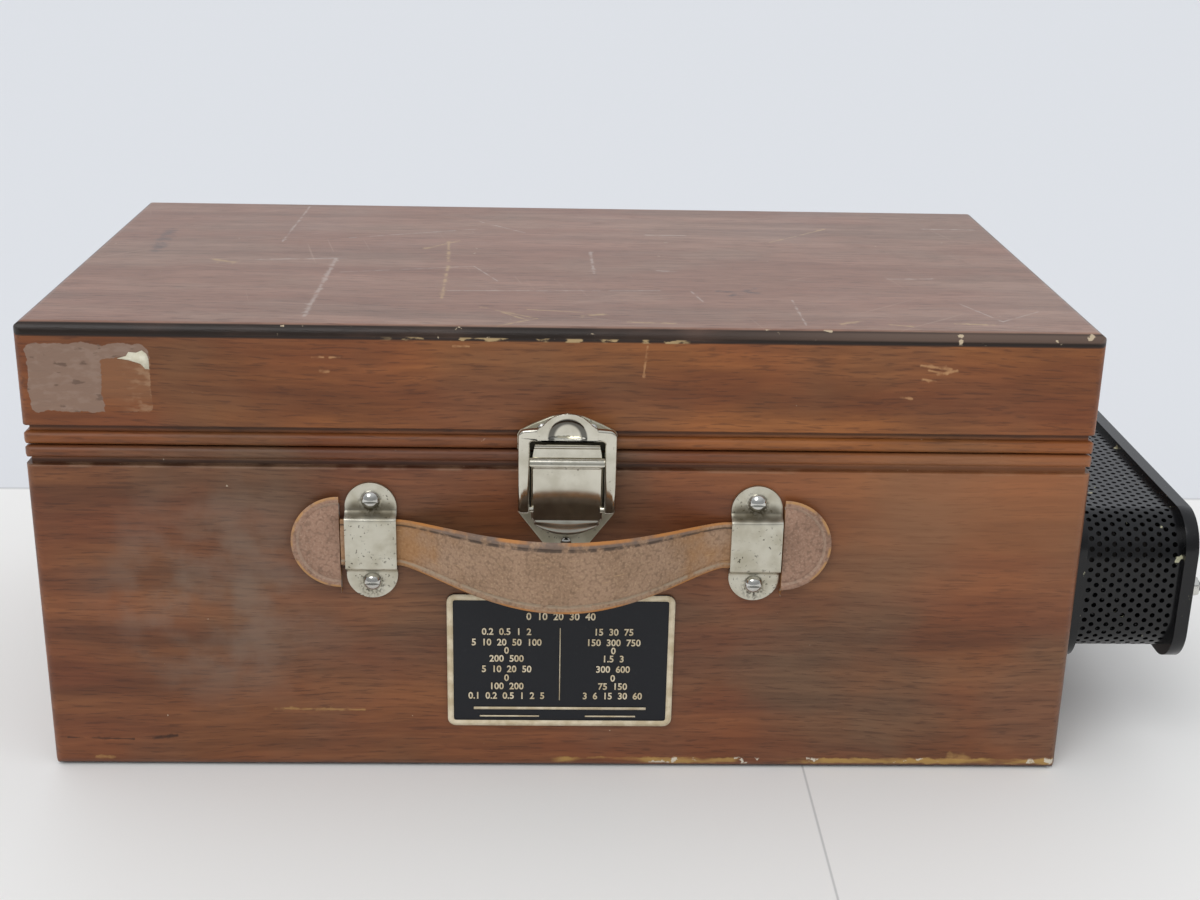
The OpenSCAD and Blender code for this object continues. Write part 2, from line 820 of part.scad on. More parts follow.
function bulge(x) = abs(x) >= strap_a ? 0 : pow(1 - pow(x / strap_a, 2), strap_power);
function strap_out(x) = strap_mid_out + strap_bow * bulge(x);
function strap_half(x) =
  abs(x) < strap_b ? (strap_end_h + (strap_mid_h - strap_end_h) * bulge(x)) / 2
  : sqrt(max(pow(moon_r, 2) - pow(abs(x) - strap_b, 2), pow(strap_edge * 2, 2)));
function strap_turn(x) = atan2(strap_out(x + 0.1) - strap_out(x - 0.1), 0.2);
strap_xs = concat(
  [for (i = [0:moon_rings]) -strap_b - moon_r * cos(90 * i / moon_rings)],
  [-strap_b + 0.05],
  [for (i = [0:bow_rings]) -strap_a + 2 * strap_a * i / bow_rings],
  [strap_b - 0.05],
  [for (i = [moon_rings:-1:0]) strap_b + moon_r * cos(90 * i / moon_rings)]
);

// One ring of the strap: a flat rectangle with eased edges, square to the way the leather runs
function ring_corners(h, t, e) = [
  [-t, h - e], [-t + e, h], [t - e, h], [t, h - e], [t, e - h], [t - e, -h], [-t + e, -h], [-t, e - h],
];
function strap_ring(x) =
  let (a = strap_turn(x), z = handle_z - strap_droop * bulge(x))
  [for (c = ring_corners(strap_half(x), strap_t / 2, strap_edge))
    [handle_x + strap_shift + x - c[0] * sin(a), front_y - strap_out(x) - c[0] * cos(a), z + c[1]]];

module handle_strap() {
  n = 8;
  rings = len(strap_xs);
  color(leather) polyhedron(
    points = [for (x = strap_xs) each strap_ring(x)],
    faces = concat(
      [for (j = [1:n - 2]) [0, j, j + 1]],
      [for (i = [0:rings - 2], j = [0:n - 1]) each [
        [i * n + j, (i + 1) * n + j, i * n + (j + 1) % n],
        [i * n + (j + 1) % n, (i + 1) * n + j, (i + 1) * n + (j + 1) % n],
      ]],
      [for (j = [1:n - 2]) [(rings - 1) * n, (rings - 1) * n + j + 1, (rings - 1) * n + j]]
    )
  );
}

// A loop's section: two feet on the case, slanted risers and a raised face of one sheet
function riser_in(out) =
  let (rise = loop_inner_out, slope = loop_riser / rise)
  loop_face_h / 2 + (loop_outer_out - out) * slope - loop_t * sqrt(1 + slope * slope);

module loop_section() {
  f = loop_face_h / 2;
  polygon([
    [0, -loop_h / 2], [loop_t, -loop_h / 2], [loop_t, -f - loop_riser], [loop_outer_out, -f],
    [loop_outer_out, f], [loop_t, f + loop_riser], [loop_t, loop_h / 2], [0, loop_h / 2],
    [0, riser_in(0)], [loop_inner_out, riser_in(loop_inner_out)],
    [loop_inner_out, -riser_in(loop_inner_out)], [0, -riser_in(0)],
  ]);
}

module handle_loop(x) {
  color(nickel) translate([x, 0, 0]) difference() {
    intersection() {
      translate([0, 0, handle_z]) front_profile(loop_w) loop_section();
      front_sheet(-cut, loop_outer_out + cut) translate([0, handle_z]) {
        square([loop_w, loop_h - loop_w], center = true);
        for (t = [-1, 1]) translate([0, t * (loop_h - loop_w) / 2]) circle(d = loop_w);
      }
    }
    for (z = loop_screw_zs) front_shank(0, z, screw_r + loop_screw_fit, -cut, loop_t + cut);
  }
}

module handle_loop_left() { handle_loop(loop_xs[0]); }
module handle_loop_right() { handle_loop(loop_xs[1]); }

module front_screws() {
  color(nickel) {
    for (x = loop_xs, z = loop_screw_zs) round_screw(x, z, loop_t, screw_head_r);
    for (x = latch_screw_xs) round_screw(latch_x + x, latch_screw_z, latch_t, rivet_head_r);
    round_screw(latch_x, tip_screw_z, latch_t, rivet_head_r);
  }
}

module name_plate() {
  color(black) translate([plate_x, 0, 0]) difference() {
    front_sheet(0, plate_t) translate([0, plate_z + plate_h / 2]) rounded(plate_w, plate_h, plate_r);
    front_sheet(plate_t - plate_sink, plate_t + cut) translate([0, plate_z + plate_h / 2])
      rounded(plate_w - 2 * plate_rim, plate_h - 2 * plate_rim, plate_r / 2);
  }
}

// Resistor cage: two plates with a perforated sleeve between them, drawn to the case by tie rods

module cage_outline(w, h, r) {
  translate([0, 0, cage_mid_z]) rotate([90, 0, 90]) linear_extrude(cage_plate_t) rounded(w, h, r);
}

module rod_places() { for (y = rod_ys) translate([0, y, cage_mid_z]) children(); }

module rod_holes() {
  rod_places() translate([cage_x0 - board_t - cut, 0, 0]) rotate([0, 90, 0])
    cylinder(r = rod_r, h = board_t + cage_out + 2 * cut);
}

// Wound spools stand between the rods, each held by a spigot at both ends
module spool_places() {
  for (i = [0:rods - 2]) translate([cage_x0 + cage_out / 2, (rod_ys[i] + rod_ys[i + 1]) / 2, cage_mid_z])
    children();
}

module cage_inner_plate() {
  color(black) difference() {
    translate([cage_x0, 0, 0]) cage_outline(cage_d, cage_h, cage_r);
    rod_holes();
    spool_places() bar_x(spigot_r, sleeve_len + 2 * spigot_l);
  }
}

module cage_outer_plate() {
  color(black) difference() {
    translate([cage_x0 + cage_out - cage_plate_t, 0, 0]) cage_outline(cage_d, cage_h, cage_r);
    rod_holes();
    spool_places() bar_x(spigot_r, sleeve_len + 2 * spigot_l);
  }
}

// Staggered holes: a column runs round the sleeve, and every other column is half a step on. The phase
// says which columns, so that the stagger goes on from each flat to the next corner.
function hole_x(i) = (i - (hole_cols - 1) / 2) * hole_pitch_x / 2;
function hole_step(i, j, phase) = j + 0.25 + ((i + phase) % 2) / 2;

// A flat of the sheet, with its run along Y
module perforated_flat(run, phase) {
  n = floor(run / hole_pitch_s);
  linear_extrude(sleeve_t) difference() {
    square([sleeve_len, run], center = true);
    for (i = [0:hole_cols - 1], j = [0:n - 1])
      translate([hole_x(i), hole_step(i, j, phase) * run / n - run / 2]) circle(d = hole_d, $fn = 16);
  }
}

// A rounded corner of the sheet, from 0 to 90 degrees about X
module perforated_corner(phase) {
  n = floor(sleeve_r * PI / 2 / hole_pitch_s);
  difference() {
    rotate([90, 0, 90]) corner_sheet();
    for (i = [0:hole_cols - 1], j = [0:n - 1]) rotate([hole_step(i, j, phase) * 90 / n, 0, 0])
      translate([hole_x(i), sleeve_r + cut, 0]) rotate([90, 0, 0])
        cylinder(d = hole_d, h = sleeve_t + 2 * cut, $fn = 16);
  }
}

module corner_sheet() {
  linear_extrude(sleeve_len, center = true) intersection() {
    difference() {
      circle(sleeve_r);
      circle(sleeve_r - sleeve_t);
    }
    square(sleeve_r);
  }
}

module cage_sleeve() {
  flat_w = sleeve_w - 2 * sleeve_r;
  flat_h = sleeve_h - 2 * sleeve_r;
  color(black) translate([cage_x0 + cage_out / 2, 0, cage_mid_z]) union() {
    for (s = [0, 1]) mirror([0, 0, s]) translate([0, 0, sleeve_h / 2 - sleeve_t])
      perforated_flat(flat_w, 1 - s);
    for (s = [0, 1]) mirror([0, s, 0]) translate([0, -sleeve_w / 2 + sleeve_t, 0]) rotate([90, 0, 0])
      perforated_flat(flat_h, 1 - s);
    for (s = [0, 1], t = [0, 1]) mirror([0, s, 0]) mirror([0, 0, t])
      translate([0, flat_w / 2, flat_h / 2]) perforated_corner((s + t) % 2);
  }
}

module cage_tie_rods() {
  color(nickel) rod_places() translate([cage_x0 - board_t - rod_tail, 0, 0]) rotate([0, 90, 0])
    cylinder(r = rod_r, h = board_t + cage_out + 2 * rod_tail);
}

// A hexagon nut at each end of every rod
module cage_nuts() {
  color(nickel) rod_places() for (x = [cage_x0 - board_t - nut_h, cage_x0 + cage_out])
    translate([x, 0, 0]) rotate([0, 90, 0]) difference() {
      cylinder(r = nut_r, h = nut_h, $fn = 6);
      translate([0, 0, -cut]) cylinder(r = rod_r, h = nut_h + 2 * cut);
    }
}

// A flanged bobbin with sections of wire
module cage_resistors() {
  step = (sleeve_len - spool_flange) / spool_sections;
  color(phenolic) spool_places() {
    bar_x(spigot_r, sleeve_len + 2 * spigot_l - free_gap);
    bar_x(spool_r - spool_wire, sleeve_len);
    for (i = [0:spool_sections]) translate([(i - spool_sections / 2) * step, 0, 0])
      bar_x(spool_r, spool_flange);
  }
}

// Panel, let into the case on two strips

module panel_screw_places() {
  for (x = panel_screw_xs, s = [-1, 1]) translate([x, s * panel_screw_y, 0]) children();
}

module panel() {
  color(black) translate([0, 0, panel_low]) linear_extrude(panel_t) difference() {
    square([inner_w - 2 * panel_fit, inner_d - 2 * panel_fit], center = true);
    translate([meter_x, meter_y]) rounded(cup_w + 2 * panel_fit, cup_d + 2 * panel_fit, cup_r + panel_fit);
    for (x = switch_xs) translate([x, switch_y]) circle(bush_r);
    for (i = [-1:1]) translate([post_mid_x + i * post_gap, post_y]) circle(stud_r);
    panel_screw_places() circle(screw_r);
  }
}

module panel_cleats() {
  color(wood) difference() {
    for (s = [-1, 1]) translate([0, s * (inner_d - cleat) / 2, panel_low - cleat / 2])
      cube([inner_w, cleat, cleat], center = true);
    panel_screw_places() translate([0, 0, panel_low - cleat]) cylinder(r = screw_r, h = cleat + cut);
  }
}

module panel_screws() {
  color(nickel) panel_screw_places() difference() {
    union() {
      translate([0, 0, panel_low - cleat + 1]) cylinder(r = screw_r, h = cleat - 1 + panel_t);
      intersection() {
        translate([0, 0, panel_top - 2 * panel_screw_r]) sphere(r = panel_screw_r * sqrt(5));
        translate([0, 0, panel_top]) cylinder(r = panel_screw_r, h = panel_screw_r);
      }
    }
    translate([0, 0, panel_top + panel_screw_r / 4])
      cube([2 * panel_screw_r + cut, slot_w, slot_deep], center = true);
  }
}

// Meter: a cover with a window, over a cup that holds the movement

module at_meter(y) { translate([meter_x, y, 0]) children(); }

module window_outline(grow) {
  translate([0, (window_y0 + window_y1) / 2])
    rounded(window_w + 2 * grow, window_y1 - window_y0 + 2 * grow, window_r + grow);
}

module meter_bezel() {
  color(black) at_meter(0) difference() {
    translate([0, meter_y, panel_top]) linear_extrude(meter_h) rounded(meter_w, meter_d, cover_r);
    translate([0, meter_y, panel_top - cut]) linear_extrude(meter_h - meter_wall + cut)
      rounded(meter_w - 2 * meter_wall, meter_d - 2 * meter_wall, cover_r - meter_wall);
    translate([0, 0, panel_top]) linear_extrude(meter_h + cut) window_outline(0);
    translate([0, zero_y, cover_top - meter_wall - cut])
      cylinder(r = zero_r + run_fit, h = meter_wall + 2 * cut);
  }
}

module meter_glass() {
  color([0.8, 0.9, 0.95, 0.4]) at_meter(0) translate([0, 0, cover_top - meter_wall - glass_t])
    linear_extrude(glass_t) window_outline(glass_lap);
}

module dial_plate() {
  color(ivory) at_meter(0) translate([0, 0, cup_rim_z]) linear_extrude(dial_t) difference() {
    translate([0, meter_y]) rounded(cup_w, cup_d, cup_r);
    translate([0, pivot_y]) rounded(dial_cut_w, dial_cut_d, cup_r);
  }
}

module boss_places() {
  for (s = [-1, 1], t = [-1, 1]) translate([s * boss_x, pivot_y + t * boss_y, 0]) children();
}

module meter_case() {
  color(black) at_meter(0) {
    difference() {
      translate([0, meter_y, 0]) union() {
        translate([0, 0, cup_low]) linear_extrude(cup_rim_z - cup_low) rounded(cup_w, cup_d, cup_r);
        translate([0, 0, panel_low - cup_flange_t]) linear_extrude(cup_flange_t)
          rounded(cup_w + 2 * cup_flange, cup_d + 2 * cup_flange, cup_r + cup_flange);
      }
      translate([0, meter_y, cup_low + meter_wall]) linear_extrude(cup_depth)
        rounded(cup_w - 2 * meter_wall, cup_d - 2 * meter_wall, cup_r - meter_wall);
    }
    boss_places() translate([0, 0, cup_low + meter_wall])
      cylinder(r = boss_r, h = pole_low - cup_low - meter_wall);
  }
}

// Moving-coil movement: a horseshoe magnet, two pole pieces, a fixed core and a coil between them

module magnet() {
  color(iron) at_meter(pivot_y) translate([0, 0, pole_low]) linear_extrude(pole_h) difference() {
    circle(magnet_r);
    circle(pole_r);
    translate([-magnet_r - cut, -2 * magnet_r - pole_slot]) square(2 * (magnet_r + cut));
  }
}

module pole_pieces() {
  color(iron) at_meter(pivot_y) translate([0, 0, pole_low]) linear_extrude(pole_h) difference() {
    intersection() {
      circle(pole_r);
      square([2 * pole_r, 2 * pole_reach], center = true);
    }
    circle(pole_bore_r);
    square([pole_slot, 2 * pole_r], center = true);
  }
}

// The core and its carrier, a bar that is wedged in the slots between the pole pieces
module armature_core() {
  color(iron) at_meter(pivot_y) translate([0, 0, pole_low]) {
    linear_extrude(pole_h) circle(core_r);
    translate([0, 0, (pole_h - carrier_w) / 2]) linear_extrude(carrier_w) for (s = [0, 1]) mirror([0, s]) {
      translate([-carrier_w / 2, core_r - 1]) square([carrier_w, pole_reach - core_r]);
      translate([-pole_slot / 2, pole_reach - carrier_w]) square([pole_slot, carrier_w]);
    }
  }
}

module movement_bridge(z, low, high) {
  difference() {
    union() {
      translate([0, 0, z]) linear_extrude(bridge_t)
        square([2 * bridge_post_xs[1] + bridge_w, bridge_w], center = true);
      for (x = bridge_post_xs) translate([x, 0, low]) cylinder(r = bridge_post_r, h = high - low);
    }
    translate([0, 0, z - cut]) cylinder(r = staff_r + run_fit, h = bridge_t + 2 * cut);
  }
}

module movement_bridges() {
  color(brass) at_meter(pivot_y) {
    movement_bridge(bridge_z, pole_top, bridge_z);
    movement_bridge(foot_bridge_z, foot_bridge_z + bridge_t, pole_low);
  }
}

// Turns what swings with the pointer to its zero, left of the middle
module at_zero() { at_meter(pivot_y) rotate([0, 0, pointer_swing / 2]) children(); }

module moving_coil() {
  low = pole_low - coil_room;
  high = pole_top + coil_room;
  color(copper) at_zero() {
    difference() {
      translate([-coil_out_r, -coil_w / 2, low - coil_t])
        cube([2 * coil_out_r, coil_w, high - low + 2 * coil_t]);
      translate([-coil_in_r, -coil_w / 2 - cut, low]) cube([2 * coil_in_r, coil_w + 2 * cut, high - low]);
    }
    translate([0, 0, high + coil_t])
      cylinder(r = staff_r, h = bridge_z + bridge_t - high - coil_t - free_gap);
    translate([0, 0, foot_bridge_z + free_gap])
      cylinder(r = staff_r, h = low - coil_t - foot_bridge_z - free_gap);
  }
}

// Knife-edge pointer with its hub, tail and balance weight
module pointer() {
  blade = 0.8;
  tip = 0.2;
  tail = 16;
  weight_r = 2;
  color(black) at_zero() translate([0, 0, pointer_z]) difference() {
    union() {
      cylinder(r = hub_r, h = hub_h);
      linear_extrude(pointer_t) polygon([[-blade, 0], [blade, 0], [tip, pointer_len], [-tip, pointer_len]]);
      linear_extrude(pointer_t) translate([-blade, -tail]) square([2 * blade, tail]);
      translate([0, weight_r / 2 - tail, -pointer_t]) cylinder(r = weight_r, h = 3 * pointer_t);
    }
    translate([0, 0, -cut]) cylinder(r = staff_r, h = hub_h + 2 * cut);
  }
}

// A flat hairspring: a ribbon wound in a spiral about the staff
module hairspring() {
  steps = 360 / hair_step * hair_turns;
  grow = (hair_out_r - hair_in_r) / steps;
  linear_extrude(hair_h) {
    polygon(concat(
      [for (i = [0:steps]) (hair_in_r + grow * i) * [cos(hair_step * i), sin(hair_step * i)]],
      [for (i = [steps:-1:0]) (hair_in_r + grow * i - hair_t) * [cos(hair_step * i), sin(hair_step * i)]]
    ));
    difference() {
      circle(hair_in_r);
      circle(staff_r);
    }
  }
}

module hairsprings() {
  color(brass) at_zero() for (z = [hair_low, hair_high]) translate([0, 0, z]) hairspring();
}

module zero_adjuster() {
  color(nickel) at_meter(zero_y) difference() {
    union() {
      translate([0, 0, cover_top - meter_wall]) cylinder(r = zero_r, h = meter_wall + zero_proud);
      translate([0, 0, cover_top - meter_wall - 1 - free_gap]) cylinder(r = zero_r + 1, h = 1);
      translate([0, 0, cover_top - meter_wall - 1]) cylinder(r = zero_r, h = 1 + cut);
      translate([0, zero_crank_y, cover_top - 2 * meter_wall]) cylinder(r = staff_r, h = meter_wall);
    }
    translate([0, 0, cover_top + zero_proud])
      cube([2 * zero_r + cut, slot_w, 2 * slot_deep], center = true);
  }
}

// Range switches: a fluted knob on a shaft, a wiper, and a deck of contacts under the panel

module knob(x) {
  grip_r = knob_r * 0.68;
  skirt_h = 5;
  flutes = 12;
  color(black) translate([x, switch_y, knob_z]) difference() {
    union() {
      cylinder(r1 = knob_r, r2 = grip_r + 1.5, h = skirt_h);
      translate([0, 0, skirt_h]) linear_extrude(knob_h - skirt_h) difference() {
        circle(grip_r);
        for (i = [0:flutes - 1]) rotate(i * 360 / flutes) translate([grip_r + 0.8, 0]) circle(1.9);
      }
    }
    translate([0, 0, -cut]) cylinder(r = shaft_r, h = knob_h * 0.6 + cut);
  }
}

module dc_knob() { knob(switch_xs[0]); }
module ac_knob() { knob(switch_xs[1]); }

module rotor(x) {
  color(brass) translate([x, switch_y, 0]) {
    translate([0, 0, wiper_z - 1]) cylinder(r = shaft_r, h = knob_z + knob_h * 0.6 - wiper_z + 1);
    translate([0, 0, wiper_z]) linear_extrude(wiper_t) {
      circle(shaft_r + 2.5);
      rotate(contact_first) translate([0, -contact_r]) square([contact_ring + contact_r, 2 * contact_r]);
    }
  }
}

module dc_rotor() { rotor(switch_xs[0]); }
module ac_rotor() { rotor(switch_xs[1]); }

module switch_bushings() {
  color(brass) for (x = switch_xs) translate([x, switch_y, 0]) difference() {
    union() {
      translate([0, 0, deck_low - contact_h + free_gap])
        cylinder(r = bush_r, h = panel_top - deck_low + contact_h - free_gap);
      translate([0, 0, deck_top]) cylinder(r = shoulder_r, h = panel_low - deck_top);
      translate([0, 0, panel_top]) cylinder(r = bush_nut_r, h = bush_nut_h, $fn = 6);
    }
    translate([0, 0, deck_low - 2 * contact_h])
      cylinder(r = shaft_r + run_fit, h = panel_top - deck_low + 4 * contact_h);
  }
}

module switch_decks() {
  color(phenolic) for (x = switch_xs) translate([x, switch_y, 0]) difference() {
    union() {
      translate([0, 0, deck_low]) cylinder(r = deck_r, h = deck_t);
      for (i = [0:contacts - 1]) rotate(contact_first - i * contact_step)
        translate([contact_ring, 0, deck_low - contact_h]) cylinder(r = contact_r, h = contact_h + cut);
    }
    translate([0, 0, deck_low - cut]) cylinder(r = bush_r, h = deck_t + 2 * cut);
  }
}

// Binding posts: a stud with a collar and a cross hole, and an insulated cap that screws down on it

module post_studs() {
  color(nickel) for (i = [-1:1]) translate([post_mid_x + i * post_gap, post_y, 0]) difference() {
    union() {
      translate([0, 0, panel_low - stud_tail])
        cylinder(r = stud_r, h = cap_z + cap_h + cap_lift - panel_low + stud_tail - stud_short);
      translate([0, 0, panel_top]) cylinder(r = collar_r, h = collar_h);
      translate([0, 0, panel_low - stud_nut_h]) cylinder(r = collar_r, h = stud_nut_h, $fn = 6);
    }
    translate([0, 0, cap_z + wire_hole_up]) rotate([90, 0, 0])
      cylinder(r = wire_hole_r, h = 2 * collar_r, center = true);
  }
}

module post_cap(i) {
  flutes = 16;
  color(black) translate([post_mid_x + i * post_gap, post_y, cap_z]) difference() {
    union() {
      cylinder(r = cap_r - 1, h = 2);
      translate([0, 0, 2]) linear_extrude(cap_h - 2) difference() {
        circle(cap_r);
        for (k = [0:flutes - 1]) rotate(k * 360 / flutes) translate([cap_r + 0.3, 0]) circle(0.8);
      }
    }
    translate([0, 0, -cut]) cylinder(r = stud_r + run_fit, h = cap_h + 2 * cut);
  }
}

module post_cap_left() { post_cap(-1); }
module post_cap_middle() { post_cap(0); }
module post_cap_right() { post_cap(1); }

// Under the panel: the converter for alternating current, and small wound spools

module thermal_converter() {
  color(phenolic) translate([post_mid_x, converter_y, panel_low - converter_size[2] / 2]) difference() {
    cube(converter_size, center = true);
    for (s = [-1, 1]) translate([s * converter_size[0] / 2, 0, 0])
      cube([converter_notch, converter_size[1] / 2, converter_size[2] + cut], center = true);
  }
}

module spool_resistors() {
  first_x = post_mid_x - (small_spools - 1) / 2 * small_spool_gap;
  wire_r = small_spool_r - small_spool_flange;
  color(copper) for (i = [0:small_spools - 1])
    translate([first_x + i * small_spool_gap, small_spool_y, panel_low - small_spool_h]) difference() {
      union() {
        cylinder(r = wire_r, h = small_spool_h);
        for (z = [0, small_spool_h - small_spool_flange]) translate([0, 0, z])
          cylinder(r = small_spool_r, h = small_spool_flange);
      }
      translate([0, 0, -cut]) cylinder(r = small_spool_bore, h = small_spool_h / 2);
    }
}

front_board();
back_board();
left_board();
right_board();
bottom_board();
lid_top();
lid_front();
lid_back();
lid_left();
lid_right();
hinge_case_leaves();
hinge_lid_leaves();
hinge_pins();
hinge_case_screws();
lid_screws();
latch_base();
latch_strike();
latch_lever();
latch_loop();
latch_hinge_pin();
latch_loop_pins();
handle_strap();
handle_loop_left();
handle_loop_right();
front_screws();
name_plate();
cage_inner_plate();
cage_sleeve();
cage_outer_plate();
cage_tie_rods();
cage_nuts();
cage_resistors();
panel();
panel_cleats();
panel_screws();
meter_bezel();
meter_glass();
dial_plate();
meter_case();
magnet();
pole_pieces();
armature_core();
movement_bridges();
moving_coil();
pointer();
hairsprings();
zero_adjuster();
dc_knob();
ac_knob();
dc_rotor();
ac_rotor();
switch_bushings();
switch_decks();
post_studs();
post_cap_left();
post_cap_middle();
post_cap_right();
thermal_converter();
spool_resistors();
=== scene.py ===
# %% [markdown]
# # A portable multirange meter
# The meter lives in a hinged wooden carrying case with a leather strap, a nickel draw latch and a black perforated
# cage for its resistors. The CAD model gives every piece its size and its place. This lesson gives each surface its
# finish, and models again the few pieces whose softness a CAD solid can't show.

# %% Load the frame
import math

import bmesh
import bpy
from mathutils import Matrix, Vector


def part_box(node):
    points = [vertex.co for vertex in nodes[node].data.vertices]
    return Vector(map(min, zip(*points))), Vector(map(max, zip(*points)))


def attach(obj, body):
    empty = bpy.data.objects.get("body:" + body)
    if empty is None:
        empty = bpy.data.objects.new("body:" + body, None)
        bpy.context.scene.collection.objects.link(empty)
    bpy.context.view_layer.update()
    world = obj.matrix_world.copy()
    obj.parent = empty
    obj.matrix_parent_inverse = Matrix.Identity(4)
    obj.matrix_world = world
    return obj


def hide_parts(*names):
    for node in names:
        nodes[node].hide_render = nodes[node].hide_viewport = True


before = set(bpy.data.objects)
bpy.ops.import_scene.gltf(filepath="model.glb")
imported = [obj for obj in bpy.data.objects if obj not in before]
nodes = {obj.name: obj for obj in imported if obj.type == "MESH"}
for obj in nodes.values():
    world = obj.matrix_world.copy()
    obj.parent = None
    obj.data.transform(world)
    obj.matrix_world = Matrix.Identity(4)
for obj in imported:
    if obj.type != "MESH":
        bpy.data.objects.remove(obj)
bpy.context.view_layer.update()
scene = bpy.context.scene
MM = 0.001
HALF_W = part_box("lid_top")[1].x
HALF_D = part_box("lid_top")[1].y
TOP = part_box("lid_top")[1].z
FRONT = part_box("front_board")[0].y

# %% [markdown]
# ## The camera
# A camera could be placed by eye. Here the case's straight edges were used to solve for the lens and the place, so
# the picture's perspective is the photograph's own. The three columns of the camera's matrix are its right side, its
# top and its back.

# %% Camera
PICTURE_WIDTH = 1200
FOCAL_PIXELS = 1679.47
SENSOR_MM = 36.0
CAMERA_PLACE = Vector((-0.00482, -0.59855, 0.29794))
CAMERA_FORWARD = Vector((0.03050, 0.94035, -0.33883)).normalized()
CAMERA_RIGHT = Vector((0.99948, -0.02531, 0.01974))

camera = bpy.data.objects.new("camera", bpy.data.cameras.new("camera"))
camera.data.sensor_width = SENSOR_MM
camera.data.lens = FOCAL_PIXELS * SENSOR_MM / PICTURE_WIDTH
right = (CAMERA_RIGHT - CAMERA_RIGHT.dot(CAMERA_FORWARD) * CAMERA_FORWARD).normalized()
turn = Matrix((right, right.cross(CAMERA_FORWARD), -CAMERA_FORWARD)).transposed()
camera.matrix_world = Matrix.Translation(CAMERA_PLACE) @ turn.to_4x4()
scene.collection.objects.link(camera)
scene.camera = camera
scene.view_settings.view_transform = "Standard"
print("Lens:", round(camera.data.lens, 2), "mm")

# %% [markdown]
# ## Node helpers
# Every finish is a small graph of shader nodes. Writing the graphs with a few short helpers keeps each material
# readable: one adds a node, one does arithmetic, one turns a value into a soft-edged mask, and one lays a colour over
# another wherever some masks agree.


# %% Node helpers
def put(tree, kind, links=None, **settings):
    """Adds a node. links gives its inputs, each a plain value or another node's output."""
    node = tree.nodes.new("ShaderNode" + kind)
    for key, value in settings.items():
        setattr(node, key, value)
    for key, value in (links or {}).items():
        if isinstance(value, bpy.types.NodeSocket):
            tree.links.new(value, node.inputs[key])
        else:
            node.inputs[key].default_value = value
    return node


def calc(tree, operation, *values):
    """One step of arithmetic on plain values."""
    return put(tree, "Math", dict(enumerate(values)), operation=operation).outputs[0]


def vector(tree, operation, *values, result=0):
    """One step of arithmetic on vectors."""
    return put(tree, "VectorMath", dict(enumerate(values)), operation=operation).outputs[result]


def mask(tree, value, low, high):
    """0 below low and 1 above high, with a soft step between; the two may be given the other way round."""
    ends = {"Value": value, "From Min": low, "From Max": high}
    return put(tree, "MapRange", ends, interpolation_type="SMOOTHSTEP").outputs["Result"]


def mix(tree, amount, under, over, way="MIX"):
    """Lays one colour over another."""
    node = put(tree, "Mix", {0: amount, 6: under, 7: over}, data_type="RGBA", blend_type=way)
    return node.outputs[2]


def colour(code):
    """A colour written as a web code, as the linear numbers that a shader wants."""
    parts = [int(code[i:i + 2], 16) / 255 for i in (1, 3, 5)]
    return (*[p / 12.92 if p <= 0.04045 else ((p + 0.055) / 1.055) ** 2.4 for p in parts], 1.0)


def lay(tree, tone, code, *masks):
    """Lays a colour over a tone wherever all the masks agree; a mask may also be a plain amount."""
    amount = masks[0]
    for other in masks[1:]:
        amount = calc(tree, "MULTIPLY", amount, other)
    return mix(tree, amount, tone, colour(code))


def noise(tree, place, scale, detail=3.0):
    """Plain cloudy noise from 0 to 1 at a place in space."""
    return put(tree, "TexNoise", {"Vector": place, "Scale": scale, "Detail": detail}).outputs["Fac"]


def stretch(tree, place, factors):
    """A place with each axis multiplied by its own factor, to draw a pattern out along one of them."""
    return vector(tree, "MULTIPLY", place, factors)


def split(tree, place):
    """The three numbers of a place, as the outputs X, Y and Z."""
    return put(tree, "SeparateXYZ", {0: place}).outputs


def new_group(name, inputs, outputs):
    """An empty node group with named sockets; returns its tree, its inputs and its output node."""
    tree = bpy.data.node_groups.new(name, "ShaderNodeTree")
    for socket, kind in inputs.items():
        tree.interface.new_socket(name=socket, in_out="INPUT", socket_type="NodeSocket" + kind)
    for socket in outputs:
        tree.interface.new_socket(name=socket, in_out="OUTPUT", socket_type="NodeSocketFloat")
    return tree, tree.nodes.new("NodeGroupInput").outputs, tree.nodes.new("NodeGroupOutput")


def use(tree, group, links):
    """Places a node group in a material."""
    return put(tree, "Group", links, node_tree=group).outputs


def new_material(name):
    """A material, its tree, its main shader and the place on the object, in metres."""
    material = bpy.data.materials.new(name)
    material.use_nodes = True
    tree = material.node_tree
    return material, tree, tree.nodes["Principled BSDF"], put(tree, "TexCoord").outputs["Object"]


def set_inputs(tree, shader, **values):
    """Sets or links a shader's inputs; underscores stand for the spaces in their names."""
    for key, value in values.items():
        socket = shader.inputs[key.replace("_", " ")]
        if isinstance(value, bpy.types.NodeSocket):
            tree.links.new(value, socket)
        else:
            socket.default_value = value


def bump(tree, height, strength, depth):
    """A normal from a height, for relief too fine to model; the depth is in millimetres."""
    return put(tree, "Bump", {"Height": height, "Strength": strength, "Distance": depth * MM}).outputs["Normal"]


print("Node helpers ready")

# %% [markdown]
# ## The table and the light
# The case stands on a white table in front of a pale wall, under soft light from above. One large plane does for
# both, because its colour changes where the table ends. The world gives most of the light, and a wide sun gives it a
# direction, so that a colour renders about as it is written. Shiny pieces see a room that is paler behind the case
# and overhead than in front of it, which is what gives polished metal its dark and light halves.

# %% Table
TABLE_HALF = 6.0
TABLE_END = 0.1655
TABLE_JOINT = 0.0838
TABLE_COLOUR = colour("#f0f0ef")
WALL_COLOUR = colour("#dde0e5")
ROOM_COLOUR = colour("#a2a4a6")

